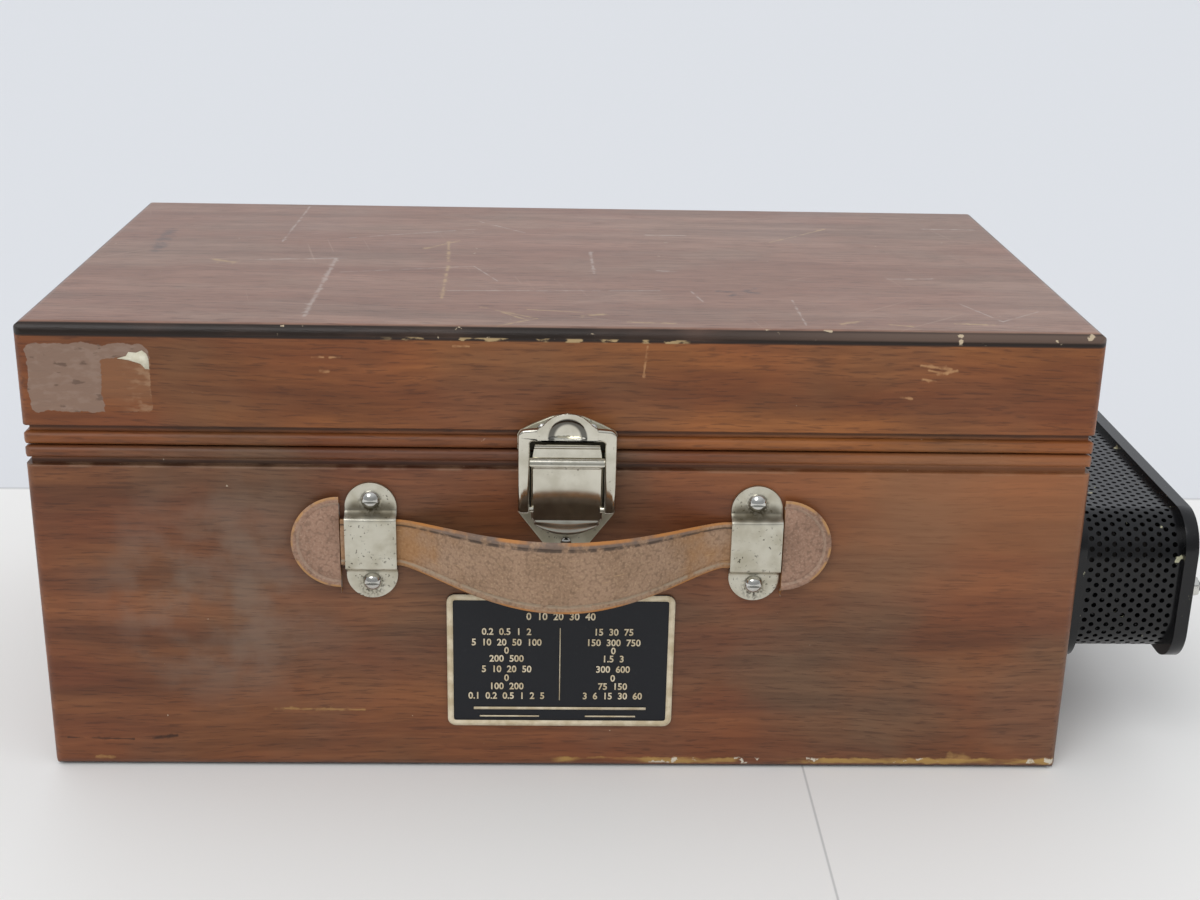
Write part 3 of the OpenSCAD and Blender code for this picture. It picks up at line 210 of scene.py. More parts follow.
table = bpy.data.objects.new("table", bpy.data.meshes.new("table"))
flat = bmesh.new()
bmesh.ops.create_grid(flat, x_segments=1, y_segments=1, size=TABLE_HALF)
flat.to_mesh(table.data)
flat.free()
scene.collection.objects.link(table)

paint, tree, shader, place = new_material("table_white")
axes = split(tree, place)
tone = mix(tree, mask(tree, axes["Y"], TABLE_END - 0.001, TABLE_END + 0.001), TABLE_COLOUR, WALL_COLOUR)
for axis, level, width, strength in (("Y", TABLE_END, 2.2 * MM, 0.35), ("X", TABLE_JOINT, 0.6 * MM, 0.45)):
    away = calc(tree, "ABSOLUTE", calc(tree, "SUBTRACT", axes[axis], level))
    ahead = mask(tree, axes["Y"], 0.0, -1.0 * MM) if axis == "X" else 1.0
    tone = lay(tree, tone, "#8e9094", mask(tree, away, width, 0.2 * width), ahead, strength)
set_inputs(tree, shader, Base_Color=tone, Roughness=0.55)
table.data.materials.append(paint)
print("Table ready")

# %% Room and sun
GLOW = 0.84
SUN_STRENGTH = 0.75
SUN_ANGLE = math.radians(32)
SUN_WAY = Vector((0.35, 0.62, -1.0))

world = bpy.data.worlds.new("room")
scene.world = world
world.use_nodes = True
tree = world.node_tree
tree.nodes.clear()
path = put(tree, "LightPath").outputs
way = split(tree, put(tree, "TexCoord").outputs["Generated"])
pale = calc(tree, "MAXIMUM", mask(tree, way["Y"], -0.5, 0.4), mask(tree, way["Z"], 0.3, 0.9))
mirrored = calc(tree, "MAXIMUM", path["Is Glossy Ray"], path["Is Transmission Ray"])
glow = put(tree, "Background", {"Color": (0.985, 0.99, 1.0, 1.0), "Strength": GLOW})
room = put(tree, "Background", {"Color": mix(tree, pale, ROOM_COLOUR, WALL_COLOUR)})
wall = put(tree, "Background", {"Color": WALL_COLOUR})
lit = put(tree, "MixShader", {0: mirrored, 1: glow.outputs[0], 2: room.outputs[0]})
seen = put(tree, "MixShader", {0: path["Is Camera Ray"], 1: lit.outputs[0], 2: wall.outputs[0]})
put(tree, "OutputWorld", {"Surface": seen.outputs[0]})

sun = bpy.data.objects.new("soft_sun", bpy.data.lights.new("soft_sun", "SUN"))
sun.data.energy = SUN_STRENGTH
sun.data.angle = SUN_ANGLE
sun.rotation_euler = SUN_WAY.to_track_quat("-Z", "Y").to_euler()
scene.collection.objects.link(sun)
print("World and sun ready")

# %% [markdown]
# ## Shared effects
# Some effects come back on many finishes: wood grain, scratches, a dark line along a groove, a round stain about a
# screw, and chips. Each is built once as a node group with named inputs, and each material places it with its own
# values.

# %% Grain of the wood
grain_tree, given, out = new_group("Wood grain", {"Place": "Vector"}, ["Bands", "Streaks", "Fibres", "Patches"])
sway = put(grain_tree, "TexNoise", {"Vector": stretch(grain_tree, given["Place"], (6, 10, 10)), "Scale": 1.0})
swung = vector(grain_tree, "MULTIPLY_ADD", sway.outputs["Color"], (0.0, 0.014, 0.014), given["Place"])
for socket, squeeze, detail, low, high in (("Bands", (5, 90, 90), 4.0, 0.30, 0.70),
                                           ("Streaks", (120, 1500, 1500), 3.0, 0.53, 0.68),
                                           ("Fibres", (45, 700, 700), 4.0, 0.32, 0.68),
                                           ("Patches", (14, 34, 34), 3.0, 0.38, 0.62)):
    drawn = noise(grain_tree, stretch(grain_tree, swung, squeeze), 1.0, detail)
    grain_tree.links.new(mask(grain_tree, drawn, low, high), out.inputs[socket])
print("Group:", grain_tree.name)

# %% A line at one level
line_tree, given, out = new_group("Line", {"Value": "Float", "Level": "Float", "Width": "Float"}, ["Mask"])
away = calc(line_tree, "ABSOLUTE", calc(line_tree, "SUBTRACT", given["Value"], given["Level"]))
line_tree.links.new(mask(line_tree, calc(line_tree, "DIVIDE", away, given["Width"]), 1.0, 0.45), out.inputs["Mask"])
print("Group:", line_tree.name)

# %% A round spot, for stains and for painted shade
spot_tree, given, out = new_group("Spot", {"Place": "Vector", "Centre": "Vector", "Radius": "Float"}, ["Mask"])
reach = vector(spot_tree, "DISTANCE", given["Place"], given["Centre"], result="Value")
spot_tree.links.new(mask(spot_tree, calc(spot_tree, "DIVIDE", reach, given["Radius"]), 1.0, 0.35), out.inputs["Mask"])
print("Group:", spot_tree.name)

# %% A single scratch between two points
stroke_tree, given, out = new_group("Stroke", {"Place": "Vector", "Wobble": "Float", "Start": "Vector",
                                               "End": "Vector", "Width": "Float"}, ["Mask"])
run = vector(stroke_tree, "SUBTRACT", given["End"], given["Start"])
arm = vector(stroke_tree, "SUBTRACT", given["Place"], given["Start"])
part = calc(stroke_tree, "DIVIDE", vector(stroke_tree, "DOT_PRODUCT", arm, run, result="Value"),
            vector(stroke_tree, "DOT_PRODUCT", run, run, result="Value"))
part = put(stroke_tree, "Clamp", {"Value": part}).outputs[0]
foot = put(stroke_tree, "VectorMath", {0: run, "Scale": part}, operation="SCALE").outputs[0]
gap = calc(stroke_tree, "MULTIPLY", vector(stroke_tree, "DISTANCE", arm, foot, result="Value"), given["Wobble"])
stroke_tree.links.new(mask(stroke_tree, calc(stroke_tree, "DIVIDE", gap, given["Width"]), 1.0, 0.1),
                      out.inputs["Mask"])
print("Group:", stroke_tree.name)

# %% Fine scratches all over
scratch_tree, given, out = new_group("Scratches", {"Place": "Vector", "Amount": "Float"}, ["Mask"])
worn = 0.0
for angle, thin in ((18.0, 520.0), (-41.0, 640.0), (77.0, 580.0)):
    turned = put(scratch_tree, "Mapping", {"Vector": given["Place"], "Rotation": (0.0, 0.0, math.radians(angle)),
                                           "Location": (angle, 0.0, 0.0)}).outputs[0]
    lines = noise(scratch_tree, stretch(scratch_tree, turned, (14.0, thin, 14.0)), 1.0, 2.0)
    level = calc(scratch_tree, "MULTIPLY_ADD", given["Amount"], 0.2, calc(scratch_tree, "SUBTRACT", lines, 0.86))
    worn = calc(scratch_tree, "MAXIMUM", worn, mask(scratch_tree, level, 0.0, 0.06))
scratch_tree.links.new(worn, out.inputs["Mask"])
print("Group:", scratch_tree.name)

# %% Chips and flecks
chip_tree, given, out = new_group("Chips", {"Place": "Vector", "Scale": "Float", "Amount": "Float"}, ["Mask"])
ragged = noise(chip_tree, given["Place"], given["Scale"], 6.0)
level = calc(chip_tree, "MULTIPLY_ADD", given["Amount"], 0.32, calc(chip_tree, "SUBTRACT", ragged, 0.80))
chip_tree.links.new(mask(chip_tree, level, 0.0, 0.03), out.inputs["Mask"])
print("Group:", chip_tree.name)

# %% [markdown]
# ## Stained and varnished wood
# The boards are walnut with a red-brown stain under a thin varnish. An image of wood would repeat and carry its own
# light, so the grain is drawn with stretched noise: slow bands, short dark streaks, fine fibres and cloudy patches.
# The grain follows each board's length, so the side boards turn the pattern. Age is painted by place: a dark line in
# the grooves beside the beads, a dusty line on the arris, and specks of white dust. The lowest millimetre or so of
# the case is painted near black, a painted shadow where it meets the table. A board's own marks are added by a
# function that is handed to it.

# %% Wood
GROOVES = 109.7 * MM, 121.7 * MM
ARRIS = 108.9 * MM
SKIN = 3.0 * MM


def near_sides(tree, axes, depth):
    """A mask of what lies within a depth of the case's four sides."""
    return calc(tree, "MAXIMUM", *(mask(tree, calc(tree, "ABSOLUTE", axes[axis]), half - depth, half - 0.9 * depth)
                                   for axis, half in (("X", HALF_W), ("Y", HALF_D))))


def wood(name, dark, light, haze, along_y=False, gloss=0.42, marks=None):
    """A stained board; marks, where given, is a function that adds the board's own marks to its colour."""
    material, tree, shader, place = new_material(name)
    axes = split(tree, place)
    drawn = place
    if along_y:
        drawn = put(tree, "Mapping", {"Vector": place, "Rotation": (0, 0, math.pi / 2)}).outputs[0]
    grain = use(tree, grain_tree, {"Place": drawn})
    tone = mix(tree, grain["Bands"], colour(dark), colour(light))
    cloud = noise(tree, place, 15.0, 4.0)
    tone = lay(tree, tone, haze, mask(tree, cloud, 0.42, 0.68), 0.7)
    tone = lay(tree, tone, "#8f4528", grain["Patches"], 0.2)
    tone = mix(tree, calc(tree, "MULTIPLY", grain["Fibres"], 0.26), tone, colour(dark), "MULTIPLY")
    tone = lay(tree, tone, "#3b2117", grain["Streaks"], 0.40)
    outside = near_sides(tree, axes, SKIN)
    # A dark line is laid along each groove beside the beads.
    for level in GROOVES:
        line = use(tree, line_tree, {"Value": axes["Z"], "Level": level, "Width": 1.1 * MM})["Mask"]
        tone = lay(tree, tone, "#22140d", line, outside, 0.6)
    # Painted shadow: the lowest millimetre or so is darkened to near black where the case meets the table.
    tone = lay(tree, tone, "#120b08", mask(tree, axes["Z"], 1.5 * MM, 0.8 * MM), 0.9)
    dust = use(tree, chip_tree, {"Place": place, "Scale": 560.0, "Amount": 0.35})["Mask"]
    dusty = use(tree, line_tree, {"Value": axes["Z"], "Level": ARRIS, "Width": 0.75 * MM})["Mask"]
    tone = lay(tree, tone, "#8e6f57", dusty, outside, mask(tree, noise(tree, place, 90.0, 4.0), 0.40, 0.60), 0.4)
    tone = lay(tree, tone, "#b3a28c", dusty, outside, dust, 0.7)
    flecks = use(tree, chip_tree, {"Place": place, "Scale": 330.0, "Amount": 0.17})["Mask"]
    tone = lay(tree, tone, "#cdbfa8", flecks, 0.75)
    if marks:
        tone = marks(tree, place, axes, tone)
    height = calc(tree, "SUBTRACT", calc(tree, "MULTIPLY", grain["Fibres"], 0.3), grain["Streaks"])
    set_inputs(tree, shader, Base_Color=tone, Roughness=calc(tree, "MULTIPLY_ADD", cloud, 0.24, gloss - 0.12),
               Normal=bump(tree, height, 0.2, 0.12), Specular_IOR_Level=0.34)
    return material


def strokes(tree, place, tone, code, strength, lines):
    """Lays single scratches over a colour; each gives its two ends as places in millimetres, and its width."""
    wobble = calc(tree, "MULTIPLY_ADD", noise(tree, place, 420.0, 5.0), 3.2, -0.5)
    broken = mask(tree, noise(tree, place, 230.0, 4.0), 0.32, 0.58)
    for start, end, width in lines:
        ends = {"Place": place, "Wobble": wobble, "Start": Vector(start) * MM, "End": Vector(end) * MM,
                "Width": width * MM}
        tone = lay(tree, tone, code, use(tree, stroke_tree, ends)["Mask"], broken, strength)
    return tone


CASE_TONES = ("#643c25", "#885634", "#6d5642")
LID_TONES = ("#6f4021", "#985e31", "#775337")
case_side_wood = wood("case_wood_side", *CASE_TONES, along_y=True)
lid_side_wood = wood("lid_wood_side", *LID_TONES, along_y=True)
print("Side boards ready")

# %% [markdown]
# The front of the case has a bare, yellowed strip along the right half of its foot, where it has been set down for
# years, and two dark cracks near its left corner.

# %% Case boards
FOOT = 3.4 * MM
WORN_FROM = -4 * MM


def case_marks(tree, place, axes, tone):
    """The marks of the case's long boards: the worn foot and the cracks."""
    front = FRONT / MM
    ahead = mask(tree, axes["Y"], FRONT + 4 * MM, FRONT + 2 * MM)
    # Painted light: a broad lighter, more orange patch at the upper right of the front.
    painted_light_patch = calc(tree, "MULTIPLY", mask(tree, axes["X"], 20 * MM, 130 * MM), mask(tree, axes["Z"], 45 * MM, 105 * MM))
    tone = lay(tree, tone, "#a56b42", painted_light_patch, 0.42)
    ragged = calc(tree, "MULTIPLY_ADD", noise(tree, place, 300.0, 5.0), 2.4 * MM, axes["Z"])
    band = use(tree, line_tree, {"Value": ragged, "Level": FOOT + 0.9 * MM, "Width": 1.5 * MM})["Mask"]
    patchy = mask(tree, noise(tree, stretch(tree, place, (0.3, 1.0, 1.0)), 130.0, 5.0), 0.40, 0.56)
    tone = lay(tree, tone, "#a9854a", band, ahead, mask(tree, axes["X"], WORN_FROM, WORN_FROM + 6 * MM), patchy)
    white = use(tree, chip_tree, {"Place": place, "Scale": 190.0, "Amount": 0.62})["Mask"]
    tone = lay(tree, tone, "#cfc6b4", band, ahead, mask(tree, axes["X"], WORN_FROM, 40 * MM), white)
    grey = use(tree, spot_tree, {"Place": place, "Centre": Vector((-113, front, 64)) * MM, "Radius": 52 * MM})["Mask"]
    tone = lay(tree, tone, "#86776b", grey, mask(tree, noise(tree, place, 60.0, 5.0), 0.35, 0.65), 0.32)
    tone = strokes(tree, place, tone, "#b08a52", 0.55, [((-157, front, 3.6), (-151, front, 3.4), 1.0),
                                                        ((134, front, 5.0), (140, front, 4.6), 2.2),
                                                        ((-96, front, 22.4), (-66, front, 22.0), 0.7)])
    return strokes(tree, place, tone, "#24150f", 0.75, [((-166, front, 11), (-144, front, 10.4), 0.5),
                                                        ((-137.5, front, 10.8), (-129.5, front, 11.8), 1.0)])


case_long_wood = wood("case_wood", *CASE_TONES, marks=case_marks)
print("Case boards ready")

# %% [markdown]
# The lid's front still carries the grey trace of a paper label. Its lower right part was torn away down to the wood,
# and one white scrap of the paper is left, which is modelled later. A ragged outline comes from pushing the place
# about with noise before a rounded rectangle is measured with it.

# %% Lid boards
LABEL = Vector((-148.6, 0, 138.1)) * MM, Vector((18.9, 0, 11.4)) * MM
TORN = Vector((-130.0, 0, 130.0)) * MM, Vector((14.6, 0, 14.8)) * MM
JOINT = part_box("lid_front")[1].z


def rounded_box(tree, axes, centre, half, corner):
    """A mask of a rectangle with round corners, on the front of the case."""
    sides = []
    for axis in "XZ":
        off = calc(tree, "ABSOLUTE", calc(tree, "SUBTRACT", axes[axis], getattr(centre, axis.lower())))
        room = getattr(half, axis.lower()) - corner
        sides.append(calc(tree, "MAXIMUM", calc(tree, "SUBTRACT", off, room), 0.0))
    reach = put(tree, "CombineXYZ", dict(enumerate(sides))).outputs[0]
    return mask(tree, vector(tree, "LENGTH", reach, result="Value"), corner, corner - 0.25 * MM)


def edge_chips(tree, place, axes, tone):
    """Pale chips and a dark line along the joint between the lid's top and its front."""
    ahead = mask(tree, axes["Y"], FRONT + 4 * MM, FRONT + 3 * MM)
    joint = use(tree, line_tree, {"Value": axes["Z"], "Level": JOINT, "Width": 0.55 * MM})["Mask"]
    tone = lay(tree, tone, "#1d130f", joint, ahead, 0.8)
    band = use(tree, line_tree, {"Value": axes["Z"], "Level": JOINT + 0.1 * MM, "Width": 0.8 * MM})["Mask"]
    where = calc(tree, "MULTIPLY", mask(tree, axes["X"], -62 * MM, -40 * MM), mask(tree, axes["X"], 52 * MM, 30 * MM))
    chip = mask(tree, noise(tree, stretch(tree, place, (0.4, 1, 1)), 330.0, 5.0), 0.53, 0.60)
    return lay(tree, tone, "#b79d72", band, ahead, where, chip, 0.85)


def lid_marks(tree, place, axes, tone):
    """The marks of the lid's long boards: the label's trace and a few tan scratches."""
    tone = edge_chips(tree, place, axes, tone)
    facing = mask(tree, axes["Y"], FRONT + 1.0 * MM, FRONT + 0.4 * MM)
    moved = place
    for scale, push in ((160.0, 3.4), (900.0, 0.9)):
        cloud = put(tree, "TexNoise", {"Vector": place, "Scale": scale}).outputs["Color"]
        centred = vector(tree, "SUBTRACT", cloud, (0.5, 0.5, 0.5))
        moved = vector(tree, "MULTIPLY_ADD", centred, (push * MM,) * 3, moved)
    moved = split(tree, moved)
    label = calc(tree, "MULTIPLY", rounded_box(tree, moved, *LABEL, 2.6 * MM), facing)
    torn = rounded_box(tree, moved, *TORN, 1.2 * MM)
    fading = mask(tree, moved["Z"], 126 * MM, 136 * MM)
    crumbs = mask(tree, noise(tree, stretch(tree, place, (0.5, 1, 1)), 520.0, 5.0), 0.46, 0.66)
    tone = lay(tree, tone, "#8a6042", label, torn, fading, 0.6)
    tone = lay(tree, tone, "#a58466", label, torn, crumbs, mask(tree, axes["X"], -140 * MM, -131 * MM), 0.5)
    kept = calc(tree, "MULTIPLY", label, calc(tree, "SUBTRACT", 1.0, torn))
    tone = lay(tree, tone, "#876f60", kept, 0.9)
    tone = lay(tree, tone, "#9c8678", kept, crumbs, 0.3)
    pits = mask(tree, noise(tree, stretch(tree, place, (0.35, 1, 1)), 480.0, 3.0), 0.62, 0.68)
    tone = lay(tree, tone, "#4b382d", kept, pits, 0.55)
    front = FRONT / MM
    return strokes(tree, place, tone, "#b88b60", 0.75, [
        ((112.5, front, 145.4), (122.0, front, 144.2), 0.8), ((113.5, front, 140.8), (117.5, front, 140.2), 0.7),
        ((118.0, front, 142.4), (124.0, front, 143.8), 0.7), ((115.0, front, 143.8), (121.0, front, 142.6), 0.6),
        ((107.0, front, 134.7), (110.5, front, 134.3), 0.7), ((25.8, front, 150.5), (24.8, front, 140.7), 0.6),
        ((-79.0, front, 145.7), (-75.5, front, 145.8), 0.6), ((-73.5, front, 145.8), (-70.5, front, 146.0), 0.7),
        ((-76.5, front, 141.3), (-74.0, front, 141.2), 0.7), ((-35.0, front, 149.9), (-30.0, front, 149.9), 0.6),
    ])


lid_long_wood = wood("lid_wood", *LID_TONES, marks=lid_marks)
print("Lid boards ready")

# %% [markdown]
# The lid's top has gone dull and grey and is covered in fine scratches, with some long pale ones and some tan ones.
# Its rounded front edge is painted nearly black, partly handling and partly painted shade, and where it is worn to a
# gloss at the right a lighter band along it is a painted sheen.


# %% Lid top
def top_marks(tree, place, axes, tone):
    """The marks of the lid's top: scratches, stains, and the front edge's handling, painted shade and painted sheen.
    """
    top = TOP / MM
    fine = use(tree, scratch_tree, {"Place": place, "Amount": 0.72})["Mask"]
    tone = lay(tree, tone, "#b39a88", fine, 0.28)
    pale = [(-103.8, 87, -105.2, 22, 0.7), (-82, -4, -82.6, -83, 1.3), (-78, -24, -32, -13, 0.5),
            (-32, -13, -23, -34, 0.5), (9.9, 11.5, 10.5, -21.5, 0.9), (76, -55, 76.4, -86, 0.6),
            (-110, -7, -79, -3, 1.1), (-81, 30, -32, 49, 0.7), (32, 42, 47, 41.6, 1.3), (144, 60, 164, 59.5, 1.2),
            (33, -16, 40, -16.7, 1.2), (132, -57, 141, -79, 0.6), (141, -79, 156, -66, 0.6), (43, -45, 46, -59, 0.6),
            (-33, 62, -15, 43, 0.7), (-39, -48, 32, -44.5, 0.7), (113, -24, 130, -23, 0.8)]
    tan = [(-43.4, 26, -41.4, -8, 1.0), (-41.4, -8, -40.7, -58, 1.0), (-51, 14, -40, 27, 1.4),
           (-126, -7, -117, -12, 2.0), (79, 32, 104, 57, 0.8), (-27, -69, -9, -82, 0.9),
           (-9, -82, -21, -91, 0.9), (-20, -75, -12, -84, 1.0), (88, -84, 95, -80, 1.4), (6, -78, 12, -76, 1.8),
           (-12, -71, 6, -74, 0.7), (103, -84, 110, -86, 1.2), (125, -82, 137, -83, 1.2), (20, -85, 34, -86, 1.2)]
    smudge = [(-151, 41, -148, 5, 4.0), (56, -50, 65, -40, 2.2), (52, -44, 66, -46, 1.4)]
    for code, strength, lines in (("#bcaea6", 0.5, pale), ("#bb9d72", 0.6, tan), ("#4b4142", 0.6, smudge)):
        tone = strokes(tree, place, tone, code, strength, [((a, b, top), (c, d, top), w) for a, b, c, d, w in lines])
    drop = calc(tree, "SUBTRACT", TOP, axes["Z"])
    outside = near_sides(tree, axes, SKIN)
    inside = calc(tree, "SUBTRACT", 1.0, outside)
    tone = lay(tree, tone, "#7a4a30", mask(tree, drop, 2.4 * MM, 2.8 * MM), inside, 0.75)
    # The rounded front edge is painted dark: partly handling, partly painted shade.
    rim = calc(tree, "MULTIPLY", mask(tree, drop, 0.12 * MM, 0.5 * MM), outside)
    cloud = noise(tree, stretch(tree, place, (0.3, 1.0, 1.0)), 45.0, 4.0)
    tone = lay(tree, tone, "#21160f", rim, mask(tree, cloud, 0.95, 0.45))
    # A painted sheen: a lighter band along the worn right half of the edge.
    rubbed = use(tree, line_tree, {"Value": drop, "Level": 1.7 * MM, "Width": 1.6 * MM})["Mask"]
    tone = lay(tree, tone, "#6f5b50", rubbed, mask(tree, axes["X"], 10 * MM, 120 * MM), 0.7)
    nicks = use(tree, chip_tree, {"Place": place, "Scale": 210.0, "Amount": 0.42})["Mask"]
    tone = lay(tree, tone, "#c4b296", nicks, mask(tree, drop, 0.0, 0.3 * MM), outside, 0.9)
    return edge_chips(tree, place, axes, tone)


lid_top_wood = wood("lid_top_wood", "#826252", "#9c7a69", "#93796b", gloss=0.36, marks=top_marks)
print("Lid top ready")

# %% [markdown]
# ## Metals
# The handle's loops are old nickel: dull, pitted, dark about the screws, and painted with shade along their upper
# risers. The latch and the screw heads are still bright. They are one kind of metal with different roughness, pits,
# dirt, painted shade and painted reflection, so one function makes them all.


# %% Metals
def metal(name, base, shade, roughness, pits, grime_and_shade=(), relief=0.25, hollow=None, dish=None):
    """Plated metal with tarnish and pits; spots of grime and painted shade; hollow a painted shadow, dish a painted
    reflection.
    """
    material, tree, shader, place = new_material(name)
    cloud = noise(tree, place, 160.0, 5.0)
    tone = mix(tree, mask(tree, cloud, 0.35, 0.75), colour(base), colour(shade))
    groups = mask(tree, noise(tree, place, 120.0, 3.0), 0.40, 0.62)
    pit = mask(tree, noise(tree, place, 1000.0, 2.0), 0.74 - 0.14 * pits, 0.78 - 0.14 * pits)
    pit = calc(tree, "MULTIPLY", pit, groups)
    tone = lay(tree, tone, "#39332a", pit, 0.8)
    level = calc(tree, "MULTIPLY_ADD", cloud, 0.4 * roughness, 0.8 * roughness)
    speck = mask(tree, noise(tree, place, 1100.0, 4.0), 0.40, 0.62)
    # A speckled spot is grime; a smooth one, whose flag is false, is painted shade.
    for centre, radius, speckled_grime in grime_and_shade:
        grime_and_shade_mask = use(tree, spot_tree, {"Place": place, "Centre": centre, "Radius": radius})["Mask"]
        tone = lay(tree, tone, "#2b241b", grime_and_shade_mask, speck, 0.9) if speckled_grime else lay(tree, tone, "#4d432f", grime_and_shade_mask, 0.75)
        level = calc(tree, "MULTIPLY_ADD", grime_and_shade_mask, 0.1, level)
    # Painted shadow: a near-black box where the loop and lever shade the base plate.
    if hollow:
        tone = lay(tree, tone, "#15120f", rounded_box(tree, split(tree, place), *hollow, 1.5 * MM), 0.93)
    # Painted reflection: a dark ring on the dish's wall, where it would mirror the darker room.
    if dish:
        centre, size = dish
        off = vector(tree, "DIVIDE", vector(tree, "SUBTRACT", place, centre), size)
        reach = vector(tree, "LENGTH", off, result="Value")
        tone = lay(tree, tone, "#4a4946", mask(tree, reach, 0.58, 0.72), mask(tree, reach, 1.0, 0.92), 0.85)
    height = calc(tree, "SUBTRACT", calc(tree, "MULTIPLY", cloud, 0.3), pit)
    set_inputs(tree, shader, Base_Color=tone, Metallic=1.0, Roughness=level, Normal=bump(tree, height, relief, 0.08))
    return material


SCREW_REACH = 14.3 * MM
loop_grime_and_shade = []
for loop in ("handle_loop_left", "handle_loop_right"):
    low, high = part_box(loop)
    middle = (low + high) / 2
    loop_grime_and_shade += [(Vector((middle.x, FRONT - 1.2 * MM, middle.z + s * SCREW_REACH - 1.2 * MM)), 5.2 * MM, True)
                  for s in (-1, 1)]
    # Painted shade: three smooth dark spots along each loop's upper riser, where the bend turns away from the light.
    loop_grime_and_shade += [(Vector((middle.x + s * 5 * MM, FRONT - 2.0 * MM, middle.z + 10.4 * MM)), 4.6 * MM, False)
                  for s in (-1, 0, 1)]
dull_nickel = metal("dull_nickel", "#d0ccbd", "#b9b3a0", 0.36, 0.8, loop_grime_and_shade)
bright_nickel = metal("bright_nickel", "#d6d2c4", "#c0bbab", 0.13, 0.35, relief=0.06)
latch_low, latch_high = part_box("latch_base")
# The box behind the loop is a painted shadow, dark even when the latch is opened.
painted_shadow_behind_loop = Vector(((latch_low.x + latch_high.x) / 2, 0, 109 * MM)), Vector((13.6, 0, 12.6)) * MM
base_nickel = metal("base_nickel", "#e0ddc8", "#c8c4ad", 0.5, 0.5, hollow=painted_shadow_behind_loop)
screw_nickel = metal("screw_nickel", "#d6d5d0", "#c4c2bb", 0.12, 0.1, relief=0.05)
old_brass = metal("old_brass", "#b79a58", "#8d7443", 0.36, 0.5)
plain_steel = metal("plain_steel", "#d2d1cb", "#b5b4ae", 0.22, 0.3)
dark_steel = metal("dark_steel", "#35353a", "#26262a", 0.40, 0.2)
blued_iron = metal("blued_iron", "#6a6e75", "#4f5359", 0.40, 0.4)
wire_copper = metal("wire_copper", "#b4703f", "#8d5330", 0.38, 0.2)
print("Metals ready")

# %% [markdown]
# ## Black enamel, mouldings and the rest
# The cage and the plate are enamelled metal: glossy black, chipped to the pale primer at the edges. The panel, the
# knobs and the meter's cover are moulded, with the faint orange peel of pressed plastic. Glass stays clear.


# %% Black finishes
def enamel(name, base, chips, roughness, scale=300.0, shine=0.4, dust_amount=0.03):
    """Gloss paint with chips, fine dust and a slight orange peel."""
    material, tree, shader, place = new_material(name)
    dust = mask(tree, noise(tree, place, 700.0, 5.0), 0.55, 0.85)
    tone = lay(tree, colour(base), "#8d8d8c", dust, dust_amount)
    chip = use(tree, chip_tree, {"Place": place, "Scale": scale, "Amount": chips})["Mask"]
    tone = lay(tree, tone, "#b9b79a", chip, 0.9)
    peel = noise(tree, place, 420.0, 2.0)
    level = calc(tree, "MULTIPLY_ADD", chip, 0.3, calc(tree, "MULTIPLY_ADD", dust, 0.12, roughness))
    height = calc(tree, "SUBTRACT", calc(tree, "MULTIPLY", peel, 0.25), chip)
    set_inputs(tree, shader, Base_Color=tone, Roughness=level, Normal=bump(tree, height, 0.2, 0.1),
               Specular_IOR_Level=shine)
    return material


cage_black = enamel("cage_black", "#0c0c0e", 0.36, 0.22, 190.0)
plate_black = enamel("plate_black", "#191b20", 0.10, 0.42, 500.0, 0.3)
panel_black = enamel("panel_black", "#1a1a1b", 0.0, 0.30, dust_amount=0.10)
moulded_black = enamel("moulded_black", "#121213", 0.0, 0.24, dust_amount=0.08)
print("Black finishes ready")


# %% Paint, laminate and glass
def painted(name, base, shade, roughness, scale):
    """A matt surface whose colour drifts between two tones and whose grain is only just felt."""
    material, tree, shader, place = new_material(name)
    drift = noise(tree, place, scale, 6.0)
    tone = mix(tree, mask(tree, drift, 0.3, 0.7), colour(base), colour(shade))
    set_inputs(tree, shader, Base_Color=tone, Roughness=calc(tree, "MULTIPLY_ADD", drift, 0.2, roughness - 0.1),
               Normal=bump(tree, drift, 0.15, 0.05))
    return material


dial_ivory = painted("dial_ivory", "#ece5d2", "#e2d9c2", 0.55, 40.0)
laminate_brown = painted("laminate_brown", "#5f3d24", "#4a2e1a", 0.45, 300.0)
wound_wire = painted("wound_wire", "#7c4f2c", "#5e391f", 0.45, 900.0)
dark_wire = painted("dark_wire", "#2a2019", "#1b1511", 0.55, 900.0)
mark_white = painted("mark_white", "#e9e6dc", "#d9d5c8", 0.5, 200.0)
mark_black = painted("mark_black", "#1b1b1b", "#252525", 0.5, 200.0)
plate_gold = painted("plate_gold", "#dccfb4", "#bfae8d", 0.45, 300.0)
paper_white = painted("paper_white", "#dedac6", "#cfc9b2", 0.8, 500.0)

glass, tree, shader, place = new_material("window_glass")
smear = noise(tree, place, 60.0, 4.0)
set_inputs(tree, shader, Base_Color=(0.97, 0.99, 0.98, 1.0), Transmission_Weight=1.0, IOR=1.1,
           Roughness=calc(tree, "MULTIPLY", smear, 0.05))
print("Paints and glass ready")

# %% [markdown]
# ## Dressing the CAD pieces
# Most CAD pieces already have the right shape, and only need their finish. Sheet metal and turned pieces also need
# their edges eased, because a perfectly sharp edge never catches the light. A Weld modifier joins the loose
# triangles, and a Bevel modifier then rounds what is sharper than a limit.

